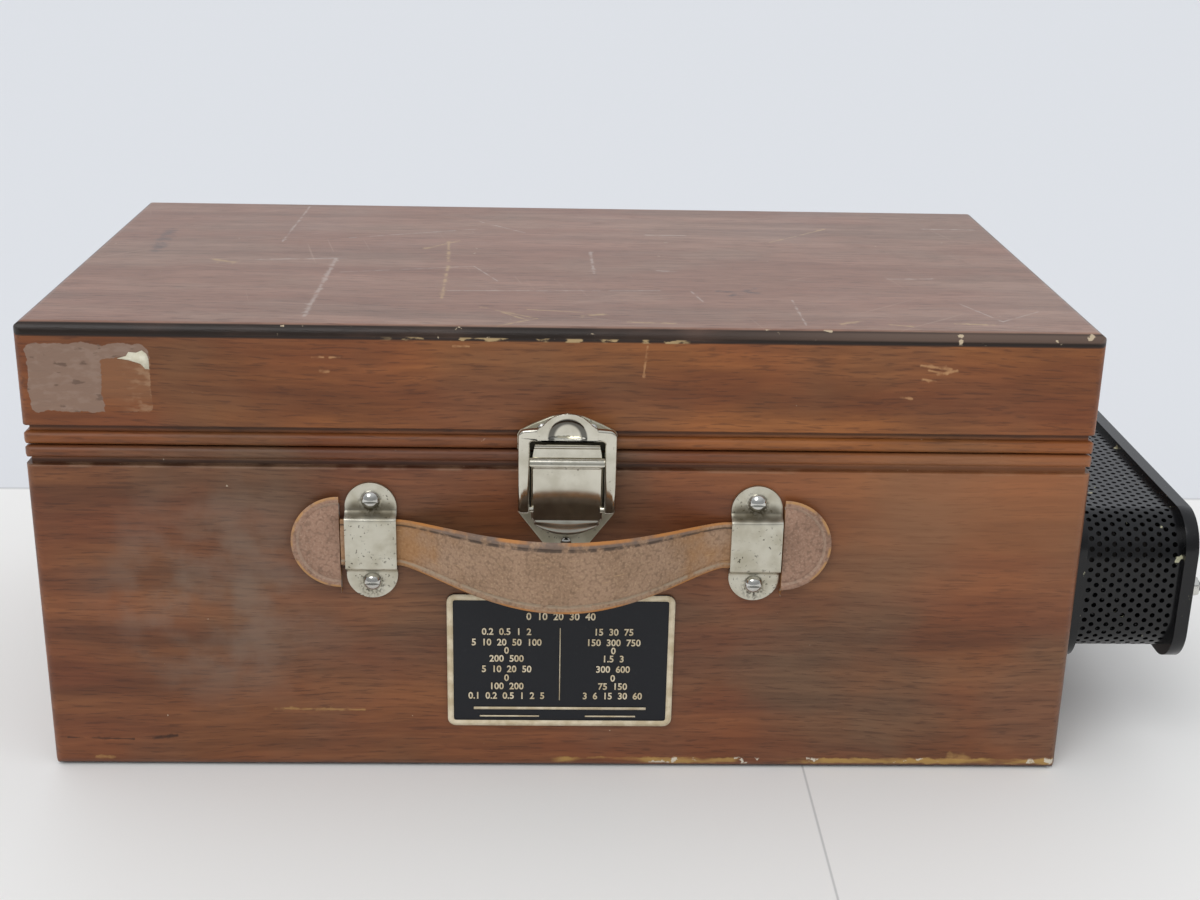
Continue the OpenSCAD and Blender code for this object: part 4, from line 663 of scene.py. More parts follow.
# %% Finishes of the CAD pieces
finishes = {
    case_long_wood: ["front_board", "back_board", "bottom_board", "panel_cleats"],
    case_side_wood: ["left_board", "right_board"],
    lid_long_wood: ["lid_front", "lid_back"],
    lid_side_wood: ["lid_left", "lid_right"],
    lid_top_wood: ["lid_top"],
    old_brass: ["hinge_case_leaves", "hinge_lid_leaves", "hinge_case_screws", "movement_bridges", "hairsprings",
                "dc_rotor", "ac_rotor", "switch_bushings"],
    screw_nickel: ["lid_screws", "front_screws", "panel_screws", "post_studs", "zero_adjuster"],
    base_nickel: ["latch_base"],
    bright_nickel: ["latch_strike", "latch_lever", "latch_loop", "latch_hinge_pin", "latch_loop_pins"],
    dull_nickel: ["handle_loop_left", "handle_loop_right"],
    plain_steel: ["hinge_pins", "cage_nuts"],
    dark_steel: ["cage_tie_rods"],
    blued_iron: ["magnet", "pole_pieces", "armature_core"],
    wire_copper: ["moving_coil"],
    cage_black: ["cage_inner_plate", "cage_sleeve", "cage_outer_plate"],
    plate_black: ["name_plate"],
    panel_black: ["panel"],
    moulded_black: ["meter_bezel", "meter_case", "dc_knob", "ac_knob", "post_cap_left", "post_cap_middle",
                    "post_cap_right"],
    glass: ["meter_glass"],
    dial_ivory: ["dial_plate"],
    mark_black: ["pointer"],
    laminate_brown: ["switch_decks", "thermal_converter"],
    wound_wire: ["spool_resistors"],
    dark_wire: ["cage_resistors"],
}
for material, names in finishes.items():
    for name in names:
        nodes[name].data.materials.clear()
        nodes[name].data.materials.append(material)
print("Dressed:", sum(len(names) for names in finishes.values()), "of", len(nodes))


# %% Eased edges
def ease(name, width, sharp=40):
    """Rounds the sharp edges of a CAD piece by a width in millimetres."""
    weld = nodes[name].modifiers.new("weld", "WELD")
    weld.merge_threshold = 0.002 * MM
    bevel = nodes[name].modifiers.new("bevel", "BEVEL")
    bevel.width = width * MM
    bevel.segments = 2
    bevel.limit_method = "ANGLE"
    bevel.angle_limit = math.radians(sharp)


for name, width in (("cage_inner_plate", 0.9), ("cage_outer_plate", 0.9), ("latch_base", 0.2),
                    ("name_plate", 0.12), ("cage_nuts", 0.6), ("meter_bezel", 0.8)):
    ease(name, width)
print("Edges eased")

# %% [markdown]
# ## Pieces modelled again
# A helper turns a finished bmesh into an object that stands in the shared frame, moves with its CAD body and, where
# it stands for a CAD node, hides that node. Bent sheets all start as a flat grid: a function says where each of its
# points goes, and modifiers then give the sheet its thickness and round its edges.

# %% Piece helpers
OUT = Vector((0, -1, 0))
UP = Vector((0, 0, 1))


def make_piece(name, shape, body, materials, replaced=()):
    """Makes an object of a bmesh whose coordinates are millimetres in the shared frame."""
    bmesh.ops.scale(shape, vec=Vector((MM, MM, MM)), verts=shape.verts)
    for face in shape.faces:
        face.smooth = True
    mesh = bpy.data.meshes.new(name)
    shape.to_mesh(mesh)
    shape.free()
    piece = bpy.data.objects.new(name, mesh)
    scene.collection.objects.link(piece)
    for material in materials:
        mesh.materials.append(material)
    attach(piece, body)
    if replaced:
        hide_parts(*replaced)
    print("Piece:", name, len(mesh.vertices), "points, rides on", body)
    return piece


def thicken(piece, thickness, edge=0.0, segments=2, rim=0, back=0):
    """Gives a sheet its thickness, on the side away from its normals, and rounds its edges; in millimetres."""
    solid = piece.modifiers.new("thickness", "SOLIDIFY")
    solid.thickness = thickness * MM
    solid.offset = -1.0
    solid.material_offset = back
    solid.material_offset_rim = rim
    solid.use_even_offset = True
    if edge:
        bevel = piece.modifiers.new("edges", "BEVEL")
        bevel.width = edge * MM
        bevel.segments = segments
        bevel.limit_method = "ANGLE"
        bevel.angle_limit = math.radians(50)
    return piece


def face_out(shape, way):
    """Makes the normals of an open sheet agree, and point the given way."""
    bmesh.ops.recalc_face_normals(shape, faces=shape.faces[:])
    shape.normal_update()
    if sum((f.normal * f.calc_area() for f in shape.faces), Vector()).dot(way) < 0:
        bmesh.ops.reverse_faces(shape, faces=shape.faces[:])


def bent_grid(columns, rows, place):
    """A grid bent by a function of its two places, each from -1 to 1; its outer side faces the front."""
    shape = bmesh.new()
    bmesh.ops.create_grid(shape, x_segments=columns, y_segments=rows, size=1.0)
    for vertex in shape.verts:
        vertex.co = place(vertex.co.x, vertex.co.y)
    face_out(shape, OUT)
    return shape


def flat_outline(points, rounds, y):
    """A flat face on the front, from its corners (x, z); rounds gives the corners' radii, by their numbers."""
    shape = bmesh.new()
    corners = [shape.verts.new((x, y, z)) for x, z in points]
    shape.faces.new(corners)
    for radius, numbers in rounds.items():
        bmesh.ops.bevel(shape, geom=[corners[n] for n in numbers], offset=radius, offset_type="OFFSET", segments=6,
                        profile=0.5, affect="VERTICES", material=-1)
    face_out(shape, OUT)
    return shape


def box_mm(node):
    """A node's lowest and highest corners in millimetres."""
    return [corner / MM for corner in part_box(node)]


front = FRONT / MM
print("Piece helpers ready; the front is at y =", round(front, 2), "mm")

# %% [markdown]
# ## The leather strap
# The strap is a single bridle-leather strip: two metal loops hold its ends flat, and between them it bows out for the
# hand. A simulation would have to find this set shape again on every run, so a grid is bent to it by formula: it
# leaves the loops flat, bows out, droops and widens. A groove was creased along each edge when the strap was made.
# The Solidify modifier gives the thickness. Its rim takes the raw, orange edge of the hide, and its back the pale
# flesh side.

# %% Strap shape
STRAP_THICK = 2.8
STRAP_BOW = 22.0
STRAP_DROOP = 2.5
STRAP_END_H = 16.2
STRAP_MID_H = 24.4
STRAP_GAP = 0.35
STRAP_FLAT = 1.6
EDGE_ROWS = (0.0, 0.35, 0.9, 1.7, 2.2, 2.6, 3.0, 3.7)
EDGE_DROP = (0.75, 0.28, 0.05, 0.0, 0.30, 0.42, 0.12, 0.0)
ROWS = 22

left_low, left_high = box_mm("handle_loop_left")
right_low, right_high = box_mm("handle_loop_right")
strap_low, strap_high = box_mm("handle_strap")
strap_x = (strap_low.x + strap_high.x) / 2
handle_z = (left_low.z + left_high.z) / 2
bow_half = (right_low.x - left_high.x) / 2 - STRAP_FLAT
MOON_R = (strap_high.z - strap_low.z) / 2
neck = (strap_high.x - strap_low.x) / 2 - MOON_R
print("Half the strap's bow:", round(bow_half, 2), "mm; half its length to the ends:", round(neck, 2), "mm")


def strap_bulge(x):
    """How far the strap is bowed at a distance from its middle, from 0 to 1."""
    return max(0.0, 1.0 - (x / bow_half) ** 2) ** 1.4


def strap_half(x):
    """Half of the strap's height at a distance from its middle."""
    return (STRAP_END_H + (STRAP_MID_H - STRAP_END_H) * strap_bulge(x)) / 2


def strap_row(row, half):
    """A row's distance from the middle line, and how far the crease or the round edge lowers it there."""
    inward = min(row, ROWS - row)
    side = 1 if row > ROWS / 2 else -1
    count = len(EDGE_ROWS)
    if inward < count:
        return side * (half - EDGE_ROWS[inward]), EDGE_DROP[inward]
    return (row - ROWS / 2) / (ROWS / 2 - count + 1) * (half - EDGE_ROWS[-1]), 0.0


def strap_point(u, v):
    """A point of the strap's outer face."""
    x = u * (neck - 0.3)
    bulge = strap_bulge(x)
    height, drop = strap_row(round((v + 1) / 2 * ROWS), strap_half(x))
    turn = math.atan(STRAP_BOW * (strap_bulge(x + 0.05) - strap_bulge(x - 0.05)) / 0.1)
    ripple = 0.08 * math.sin(x * 0.31) * math.sin(x * 0.077 + 1.0) * bulge
    out = STRAP_GAP + STRAP_THICK / 2 + STRAP_BOW * bulge + ripple
    off = STRAP_THICK / 2 - drop
    return Vector((strap_x + x - off * math.sin(turn), front - out - off * math.cos(turn),
                   handle_z - STRAP_DROOP * bulge + height))


shape = bent_grid(120, ROWS, strap_point)
uv = shape.loops.layers.uv.new("hide")
for face in shape.faces:
    for corner in face.loops:
        x = corner.vert.co.x - strap_x
        height = corner.vert.co.z - handle_z + STRAP_DROOP * strap_bulge(x)
        corner[uv].uv = (x * MM, height / strap_half(x))

# %% [markdown]
# The strap's face is grey-brown and pebbled, with fine cracks along its length. It is more orange where the loops
# have kept it clean, and dark in its creases. The pattern follows the strap's own UV map, so it bends with it: one
# axis runs along the strap and the other from its lower edge to its upper one.

# %% Leather
CREASE_IN = 2.45 * MM


def hide(name, base, shade, worn_tone, marks=None):
    """Pebbled hide; marks, where given, is a function that adds the piece's own marks to its colour."""
    material, tree, shader, place = new_material(name)
    cells = put(tree, "TexVoronoi", {"Vector": place, "Scale": 1150.0}, feature="SMOOTH_F1").outputs["Distance"]
    blotch = noise(tree, place, 70.0, 5.0)
    fine = noise(tree, place, 1500.0, 4.0)
    tone = mix(tree, mask(tree, blotch, 0.32, 0.68), colour(base), colour(shade))
    tone = lay(tree, tone, worn_tone, mask(tree, fine, 0.45, 0.75), 0.45)
    tone = lay(tree, tone, "#3f2b1e", mask(tree, cells, 0.35, 0.75), 0.35)
    if marks:
        tone = marks(tree, place, blotch, tone)
    set_inputs(tree, shader, Base_Color=tone, Roughness=calc(tree, "MULTIPLY_ADD", fine, 0.3, 0.42),
               Normal=bump(tree, calc(tree, "SUBTRACT", 1.0, cells), 0.4, 0.2), Specular_IOR_Level=0.35)
    return material


def strap_marks(tree, place, blotch, tone):
    """The strap's wear: clean orange ends, cracks, creases and rubbed edges."""
    axes = split(tree, put(tree, "UVMap", uv_map="hide").outputs[0])
    along, across = axes["X"], axes["Y"]
    reach = calc(tree, "MULTIPLY_ADD", noise(tree, place, 140.0, 4.0), 22 * MM, calc(tree, "ABSOLUTE", along))
    ends = mask(tree, reach, (bow_half - 10) * MM, (bow_half + 10) * MM)
    tone = lay(tree, tone, "#a9753c", ends, mask(tree, blotch, 0.25, 0.6), 0.5)
    drawn = put(tree, "CombineXYZ", {0: calc(tree, "MULTIPLY", along, 80.0),
                                     1: calc(tree, "MULTIPLY", across, 15.0)}).outputs[0]
    crack = mask(tree, noise(tree, drawn, 1.0, 4.0), 0.64, 0.72)
    tone = lay(tree, tone, "#cba878", crack, 0.4)
    inside = calc(tree, "MULTIPLY", calc(tree, "SUBTRACT", 1.0, calc(tree, "ABSOLUTE", across)), 11.2 * MM)
    upper = mask(tree, across, -0.1, 0.1)
    lower = calc(tree, "SUBTRACT", 1.0, upper)
    broken = mask(tree, noise(tree, place, 300.0, 4.0), 0.32, 0.52)
    band = mask(tree, inside, 3.6 * MM, 1.6 * MM)
    middle = mask(tree, calc(tree, "ABSOLUTE", along), (bow_half - 6) * MM, (bow_half - 14) * MM)
    tone = lay(tree, tone, "#6f6058", band, upper, middle, broken, 0.75)
    line = use(tree, line_tree, {"Value": inside, "Level": CREASE_IN, "Width": 0.7 * MM})["Mask"]
    tone = lay(tree, tone, "#2f241d", line, upper, broken, 0.7)
    tone = lay(tree, tone, "#9d8d78", line, lower, broken, 0.7)
    rubbed = mask(tree, inside, 1.25 * MM, 0.5 * MM)
    patchy = mask(tree, noise(tree, stretch(tree, place, (1, 0.3, 0.3)), 75.0, 4.0), 0.36, 0.56)
    return lay(tree, tone, "#b97a3a", rubbed, patchy, 0.85)


def moon_marks(tree, place, blotch, tone):
    """The half-moons' tan rim, seen where the dye has rubbed off."""
    axes = split(tree, place)
    away = put(tree, "CombineXYZ", {0: calc(tree, "SUBTRACT", calc(tree, "ABSOLUTE", calc(
        tree, "SUBTRACT", axes["X"], strap_x * MM)), neck * MM),
        1: calc(tree, "SUBTRACT", axes["Z"], handle_z * MM)}).outputs[0]
    reach = vector(tree, "LENGTH", away, result="Value")
    crease = use(tree, line_tree, {"Value": reach, "Level": (MOON_R - 2.3) * MM, "Width": 0.7 * MM})["Mask"]
    tone = lay(tree, tone, "#b4a08d", crease, mask(tree, blotch, 0.3, 0.5), 0.3)
    rim = mask(tree, reach, (MOON_R - 1.2) * MM, (MOON_R - 0.5) * MM)
    return lay(tree, tone, "#b98a55", rim, mask(tree, noise(tree, place, 160.0, 4.0), 0.40, 0.55), 0.8)


def raw_edge(name, base, shade, soil):
    """Cut or unfinished hide: fibrous, and darkened by hands in patches."""
    material, tree, shader, place = new_material(name)
    fibre = noise(tree, place, 800.0, 5.0)
    tone = mix(tree, mask(tree, fibre, 0.3, 0.7), colour(base), colour(shade))
    tone = lay(tree, tone, soil, mask(tree, noise(tree, place, 60.0, 4.0), 0.50, 0.68), 0.7)
    set_inputs(tree, shader, Base_Color=tone, Roughness=0.75, Normal=bump(tree, fibre, 0.5, 0.2))
    return material


strap_leather = hide("strap_leather", "#9c7f67", "#8b6f57", "#bc9f80", strap_marks)
moon_leather = hide("moon_leather", "#9d7c68", "#8b6c59", "#b69a86", moon_marks)
hide_edge = raw_edge("hide_edge", "#b27a40", "#8d6034", "#62483a")
hide_back = raw_edge("hide_back", "#a79d95", "#90867e", "#776c64")
strap = make_piece("strap", shape, "handle", [strap_leather, hide_edge, hide_back],
                   ["handle_strap"])
thicken(strap, STRAP_THICK, 0.35, rim=1, back=2)

# %% [markdown]
# ## The half-moon ends
# Each end of the strap is a half-moon that stops it from slipping through its loop. Insets sink a creased line inside
# the edge of a whole disc, which is then cut in half: the other way round, the insets would tangle at the corners.

# %% Half-moons
MOON_CREASE = 2.3

for side, name in ((-1, "strap_end_left"), (1, "strap_end_right")):
    shape = bmesh.new()
    bmesh.ops.create_circle(shape, cap_ends=True, segments=72, radius=MOON_R)
    for inset, depth in ((0.5, 0.35), (MOON_CREASE - 0.5, 0.0), (0.35, -0.35), (0.35, 0.3), (3.0, 0.15)):
        bmesh.ops.inset_region(shape, faces=[max(shape.faces, key=lambda f: f.calc_area())], thickness=inset,
                               depth=depth, use_even_offset=True, use_boundary=True)
    bmesh.ops.bisect_plane(shape, geom=shape.verts[:] + shape.edges[:] + shape.faces[:], plane_co=(0, 0, 0),
                           plane_no=(side, 0, 0), clear_inner=True)
    stand = Matrix.Translation((strap_x + side * neck, front - STRAP_GAP - STRAP_THICK + 0.5, handle_z))
    bmesh.ops.transform(shape, matrix=stand @ Matrix.Rotation(math.pi / 2, 4, "X"), verts=shape.verts)
    face_out(shape, OUT)
    moon = make_piece(name, shape, "handle", [moon_leather, hide_edge, hide_back])
    thicken(moon, STRAP_THICK - 0.5, 0.3, rim=1, back=2)

# %% [markdown]
# ## The handle's metal loops
# A loop is a strip with round feet, pressed over a former: foot, riser, raised face, riser, foot. A fine grid is laid
# out as the flat strip and then lifted along a curve with a crisp bend at the face, which catches the light, and a
# hollow one at the foot, which keeps the dirt.

# %% Loops
LOOP_SHEET = 1.2
LOOP_FACE_HALF = 8.8
LOOP_RISER = 2.5
LOOP_ROUND = 0.45


def ramp(value, low, high):
    """0 at low and 1 at high, straight between."""
    return min(1.0, max(0.0, (value - low) / (high - low)))


def loop_lift(distance):
    """How far a loop is lifted at a distance from its middle, from 0 to 1: a crisp bend above, a hollow one below."""
    spots = [LOOP_ROUND * (n / 3 - 1) for n in range(7)]
    return sum(ramp(distance + s, LOOP_FACE_HALF + LOOP_RISER, LOOP_FACE_HALF) ** 2.2 for s in spots) / len(spots)


for side, low, high in (("left", left_low, left_high), ("right", right_low, right_high)):
    half_w, half_h = (high.x - low.x) / 2, (high.z - low.z) / 2
    rise = front - low.y - LOOP_SHEET
    centre_x = (low.x + high.x) / 2

    def loop_point(u, v):
        along = math.sin(v * math.pi / 2) * half_h
        past = max(0.0, abs(along) - half_h + half_w)
        lift = loop_lift(abs(along))
        dish = 0.16 * lift * u ** 2
        return Vector((centre_x + u * math.sqrt(max(half_w ** 2 - past ** 2, 0.01)),
                       front - LOOP_SHEET - rise * lift + dish, handle_z + along))

    made = make_piece("strap_loop_" + side, bent_grid(16, 180, loop_point), "case", [dull_nickel],
                      ["handle_loop_" + side])
    thicken(made, LOOP_SHEET - 0.05, 0.28)

# %% [markdown]
# ## The draw latch
# The lever is a pressed plate that curls about its hinge pin at the top, has its sides rolled back, and ends below
# in a lip bent out for a finger. The plate leans out a little at its top, so its lower half mirrors the back of the
# strap. The curl stands proud of the plate, and a fine ridge runs along the lower bend.

# %% Latch lever
LATCH_X = (box_mm("latch_base")[0].x + box_mm("latch_base")[1].x) / 2
PIN_OUT = front - (box_mm("latch_hinge_pin")[0].y + box_mm("latch_hinge_pin")[1].y) / 2
PIN_Z = (box_mm("latch_hinge_pin")[0].z + box_mm("latch_hinge_pin")[1].z) / 2
LEVER_HALF = 11.4
LEVER_EAR = 0.5
LEVER_ROLL = 2.3
LEVER_LEAN = math.radians(3.2)
CURL_FROM = math.radians(150)
CURL_PROUD = 0.5
LEVER_FACE = 19.6
LIP_LEAN = math.radians(20)
LIP_SIDE, LIP_MIDDLE = 0.9, 3.2
SIDE_ROLL = 0.9

curl_length = LEVER_ROLL * (CURL_FROM + LEVER_LEAN)


def lever_section(run, lip):
    """Place on the lever's section, as distance out of the front and height; the lip is as long as it is given."""
    if run < curl_length:
        angle = CURL_FROM - run / LEVER_ROLL
        return PIN_OUT + LEVER_ROLL * math.cos(angle), PIN_Z + LEVER_ROLL * math.sin(angle)
    down = min(run - curl_length, LEVER_FACE)
    beyond = max(0.0, run - curl_length - LEVER_FACE) * lip
    ridge = 0.3 * math.exp(-((run - curl_length - LEVER_FACE) / 0.4) ** 2)
    proud = CURL_PROUD * (1 - math.cos(math.pi * ramp(down, 0.0, 1.1))) / 2
    out = PIN_OUT + LEVER_ROLL * math.cos(LEVER_LEAN) - down * math.sin(LEVER_LEAN) + beyond * math.sin(LIP_LEAN)
    z = PIN_Z - LEVER_ROLL * math.sin(LEVER_LEAN) - down * math.cos(LEVER_LEAN) - beyond * math.cos(LIP_LEAN)
    return out + ridge - proud, z


def lever_point(u, v):
    """A point of the lever's outer face; v runs from the lip's edge up to the curl."""
    run = (1 - v) / 2 * (curl_length + LEVER_FACE + 1.0)
    ear = LEVER_EAR * ramp(run, curl_length + 0.6, curl_length)
    corner = 0.9 * ramp(run, curl_length + LEVER_FACE - 1.3, curl_length + LEVER_FACE) ** 2
    half = LEVER_HALF + ear - corner
    x = math.sin(u * math.pi / 2) * half
    near = max(0.0, SIDE_ROLL - (half - abs(x)))
    roll = SIDE_ROLL - math.sqrt(SIDE_ROLL ** 2 - near ** 2)
    out, z = lever_section(run, LIP_SIDE + LIP_MIDDLE * (1 - (x / half) ** 2))
    return Vector((LATCH_X + x, front - out + roll * (1 - ear / LEVER_EAR), z))


lever = make_piece("clasp_lever", bent_grid(36, 140, lever_point), "latch_lever", [bright_nickel],
                   ["latch_lever"])
thicken(lever, 0.6, 0.15)

# %% [markdown]
# The loop turns on two short pins at the lever's sides. Each is a cylinder with its end bevelled.

# %% Latch pins
PIN_INNER, PIN_OUTER, PIN_R = 10.6, 15.0, 1.0
PIVOT = Vector((0, front - 5.05, PIN_Z - 15.2))

shape = bmesh.new()
for side in (-1, 1):
    stand = Matrix.Translation(PIVOT + Vector((LATCH_X + side * (PIN_INNER + PIN_OUTER) / 2, 0, 0)))
    bmesh.ops.create_cone(shape, cap_ends=True, segments=24, radius1=PIN_R, radius2=PIN_R,
                          depth=PIN_OUTER - PIN_INNER, matrix=stand @ Matrix.Rotation(math.pi / 2, 4, "Y"))
ends = [e for e in shape.edges if abs(e.verts[0].co.x - e.verts[1].co.x) < 0.01]
bmesh.ops.bevel(shape, geom=ends, offset=0.2, segments=2, profile=0.5, affect="EDGES", material=-1)
make_piece("clasp_pins", shape, "latch_lever", [bright_nickel], ["latch_loop_pins"])

# %% [markdown]
# The loop is a stamped frame. Its flat outline has its corners rounded by a vertex bevel, and modifiers do the rest.
# A bell-shaped thumb tab stands on its bar, with a dish pressed into it, whose wall is painted with a dark
# reflection.
# The tab is a grid that narrows to the bell's outline. Both are tilted about the pins, as the lever draws them in.

# %% Latch loop
LOOP_HALF = 15.6
LEG = 3.7
LOOP_LOW, LOOP_BAR, LOOP_TOP = 96.2, 121.3, 124.9
NOTCH_HALF, NOTCH_Z = 7.4, 122.2
LOOP_FACE_OUT = 6.5
LOOP_TILT = Matrix.Translation(PIVOT) @ Matrix.Rotation(LEVER_LEAN, 4, "X") @ Matrix.Translation(-PIVOT)

inner = LOOP_HALF - LEG
outline = [(-LOOP_HALF, LOOP_LOW), (-LOOP_HALF, LOOP_TOP), (-NOTCH_HALF - 1, LOOP_TOP + 0.6), (-NOTCH_HALF, NOTCH_Z),
           (NOTCH_HALF, NOTCH_Z), (NOTCH_HALF + 1, LOOP_TOP + 0.6), (LOOP_HALF, LOOP_TOP), (LOOP_HALF, LOOP_LOW),
           (inner, LOOP_LOW), (inner, LOOP_BAR), (-inner, LOOP_BAR), (-inner, LOOP_LOW)]
shape = flat_outline([(LATCH_X + x, z) for x, z in outline], {2.2: (1, 6), 1.0: (9, 10), 1.3: (0, 7)},
                     front - LOOP_FACE_OUT)
bmesh.ops.transform(shape, matrix=LOOP_TILT, verts=shape.verts)
clasp = make_piece("clasp_loop", shape, "latch_loop", [bright_nickel], ["latch_loop"])
thicken(clasp, 2.5, 0.8, 5)

# %% Thumb tab
BELL = ((121.9, 9.6), (125.4, 9.6), (126.0, 8.9), (127.0, 7.6), (128.3, 6.4), (129.6, 4.7), (130.5, 2.6),
        (130.8, 0.0))
DISH_HALF, DISH_HEIGHT, DISH_FOOT, DISH_DEPTH = 6.4, 6.8, 122.5, 1.5


def bell_half(z):
    """Half of the bell's width at a height."""
    for (low, wide), (high, narrow) in zip(BELL, BELL[1:]):
        if z <= high:
            return wide + (narrow - wide) * (z - low) / (high - low)
    return 0.0


def tab_point(u, v):
    """A point of the thumb tab; v runs from its root on the loop's bar up to its top."""
    z = BELL[0][0] + (BELL[-1][0] - BELL[0][0]) * math.sin((v + 1) * math.pi / 4)
    x = u * bell_half(z)
    reach = (x / DISH_HALF) ** 2 + ((z - DISH_FOOT) / DISH_HEIGHT) ** 2
    dish = DISH_DEPTH * max(0.0, 1 - reach) ** 0.8 * ramp(z, DISH_FOOT - 0.2, DISH_FOOT + 0.5)
    return LOOP_TILT @ Vector((LATCH_X + x, front - LOOP_FACE_OUT - 0.05 + dish, z))


# The dish gets a painted reflection: a dark ring on its wall.
tab_reflection_ring = Vector((LATCH_X, front, DISH_FOOT)) * MM, Vector((DISH_HALF, 1000.0, DISH_HEIGHT)) * MM
tab_nickel_painted_reflection = metal("tab_nickel_painted_reflection", "#d6d2c4", "#c0bbab", 0.13, 0.35, relief=0.06, dish=tab_reflection_ring)
tab = make_piece("clasp_tab", bent_grid(56, 64, tab_point), "latch_loop", [tab_nickel_painted_reflection])
thicken(tab, 0.8, 0.3, 3)

# %% [markdown]
# The strike is an arched plate on the lid with a hook bent out of it. The plate is a flat outline, and the hook a
# grid that runs out from the plate, over a round hem, and down.

# %% Latch strike
STRIKE_OUT = 1.2
HOOK_REACH = 2.6
HOOK_BEND = 0.7
HOOK_DROP = 3.5
HOOK_Z = 118.9
HEM = 0.35

shape = flat_outline([(LATCH_X + x, z) for x, z in (
    (-15.9, 116.1), (-15.9, 122.3), (-11.0, 124.9), (-5.0, 127.5), (0.0, 128.4), (5.0, 127.5), (11.0, 124.9),
    (15.9, 122.3), (15.9, 116.1))], {1.2: (1, 7)}, front - STRIKE_OUT)
strike = make_piece("clasp_strike", shape, "lid", [base_nickel], ["latch_strike"])
thicken(strike, STRIKE_OUT - 0.05, 0.3)


def hook_point(u, v):
    """A point of the strike's hook; v runs from its lower edge, over the hem, back to the plate."""
    bend = HOOK_BEND * math.pi / 2
    run = (1 + v) / 2 * (HOOK_DROP + bend + HOOK_REACH)
    if run < HOOK_DROP:
        out, z = HOOK_REACH + HOOK_BEND + 0.1 * (HOOK_DROP - run), HOOK_Z - HOOK_BEND - HOOK_DROP + run
        out -= HEM * (1 - math.cos(math.pi * ramp(HOOK_DROP - run, 0.0, 0.8))) / 2
    elif run < HOOK_DROP + bend:
        angle = (run - HOOK_DROP) / HOOK_BEND
        out, z = HOOK_REACH + HOOK_BEND * math.cos(angle), HOOK_Z - HOOK_BEND + HOOK_BEND * math.sin(angle)
    else:
        out, z = HOOK_REACH - (run - HOOK_DROP - bend), HOOK_Z
    half = 10.3 + 0.7 * ramp(z, HOOK_Z, HOOK_Z - HOOK_DROP)
    return Vector((LATCH_X + u * half, front - STRIKE_OUT - out + 0.2, z))


hook = make_piece("clasp_hook", bent_grid(12, 60, hook_point), "lid", [bright_nickel])
thicken(hook, 0.7, 0.15)

# %% [markdown]
# ## The plate's rim and figures
# The enamelled plate has a pale metal rim and raised figures. The words on such a plate are left off. It carries
# plain numbers in two columns, with a divider and a few thin rules. A text object can't be bent to the frame while
# it is text, so each number is made a mesh first and then set in its place.


# %% Plate
def add_figures(shape, words, size, place, squeeze=1.0):
    """Adds a number to a bmesh as a thin solid that lies on the XY plane until place moves it."""
    curve = bpy.data.curves.new("figures", "FONT")
    curve.body, curve.size, curve.align_x, curve.align_y = words, size, "CENTER", "CENTER"
    curve.extrude, curve.resolution_u, curve.offset = FIGURE_RAISE, 3, 0.02 * size
    holder = bpy.data.objects.new("figures", curve)
    mesh = bpy.data.meshes.new_from_object(holder)
    mesh.transform(place @ Matrix.Diagonal((squeeze, 1.0, 1.0, 1.0)))
    shape.from_mesh(mesh)
    bpy.data.objects.remove(holder)
    bpy.data.curves.remove(curve)
    bpy.data.meshes.remove(mesh)


def add_bar(shape, place, length, width):
    """Adds a thin bar that lies along X on the XY plane until place moves it."""
    size = Matrix.Diagonal((length, width, 2 * FIGURE_RAISE, 1.0))
    bmesh.ops.create_cube(shape, size=1.0, matrix=place @ size)


FIGURE_RAISE = 0.06
RIM, RIM_RAISE = 2.0, 0.14
PLATE_CORNER = 2.8
LEFT_COLUMN, RIGHT_COLUMN = -18.0, 17.6
PLATE_FIGURE, PLATE_SQUEEZE = 3.4, 0.95
plate_low, plate_high = box_mm("name_plate")
plate_x = (plate_low.x + plate_high.x) / 2
stand = Matrix.Translation((plate_x, plate_low.y - FIGURE_RAISE, 0)) @ Matrix.Rotation(math.pi / 2, 4, "X")

shape = flat_outline(((plate_low.x, plate_low.z), (plate_low.x, plate_high.z), (plate_high.x, plate_high.z),
                      (plate_high.x, plate_low.z)), {PLATE_CORNER: (0, 1, 2, 3)}, plate_low.y - RIM_RAISE)
bmesh.ops.inset_region(shape, faces=shape.faces[:], thickness=RIM, use_even_offset=True, use_boundary=True)
bmesh.ops.delete(shape, geom=[max(shape.faces, key=lambda f: f.calc_area())], context="FACES")
face_out(shape, OUT)
rim = make_piece("plate_rim", shape, "case", [plate_gold])
thicken(rim, 0.13)

shape = bmesh.new()
rows = ((51.8, "0.2  0.5  1  2", "15  30  75"), (47.9, "5  10  20  50  100", "150  300  750"), (44.9, "0", "0"),
        (41.9, "200  500", "1.5  3"), (38.0, "5  10  20  50", "300  600"), (34.7, "0", "0"),
        (31.6, "100  200", "75  150"), (28.0, "0.1  0.2  0.5  1  2  5", "3  6  15  30  60"))
for z, *columns in rows:
    for x, words in zip((LEFT_COLUMN, RIGHT_COLUMN), columns):
        add_figures(shape, words, PLATE_FIGURE, stand @ Matrix.Translation((x, z, 0)), PLATE_SQUEEZE)
add_figures(shape, "0  10  20  30  40", 3.6, stand @ Matrix.Translation((0, 57.4, 0)), PLATE_SQUEEZE)
for x, z, length, width, angle in ((-0.2, 39.9, 26.8, 0.3, 90), (0, 23.4, 58.0, 0.9, 0), (-17, 20.4, 20.0, 0.5, 0),
                                   (17, 20.4, 17.0, 0.5, 0)):
    turn = Matrix.Rotation(math.radians(angle), 4, "Z")
    add_bar(shape, stand @ Matrix.Translation((x, z, 0)) @ turn, length, width)
make_piece("plate_figures", shape, "case", [plate_gold])

# %% [markdown]
# ## The scrap of paper
# One corner of the old label is still glued to the lid. It is a few points joined into a face and made a thin sheet.

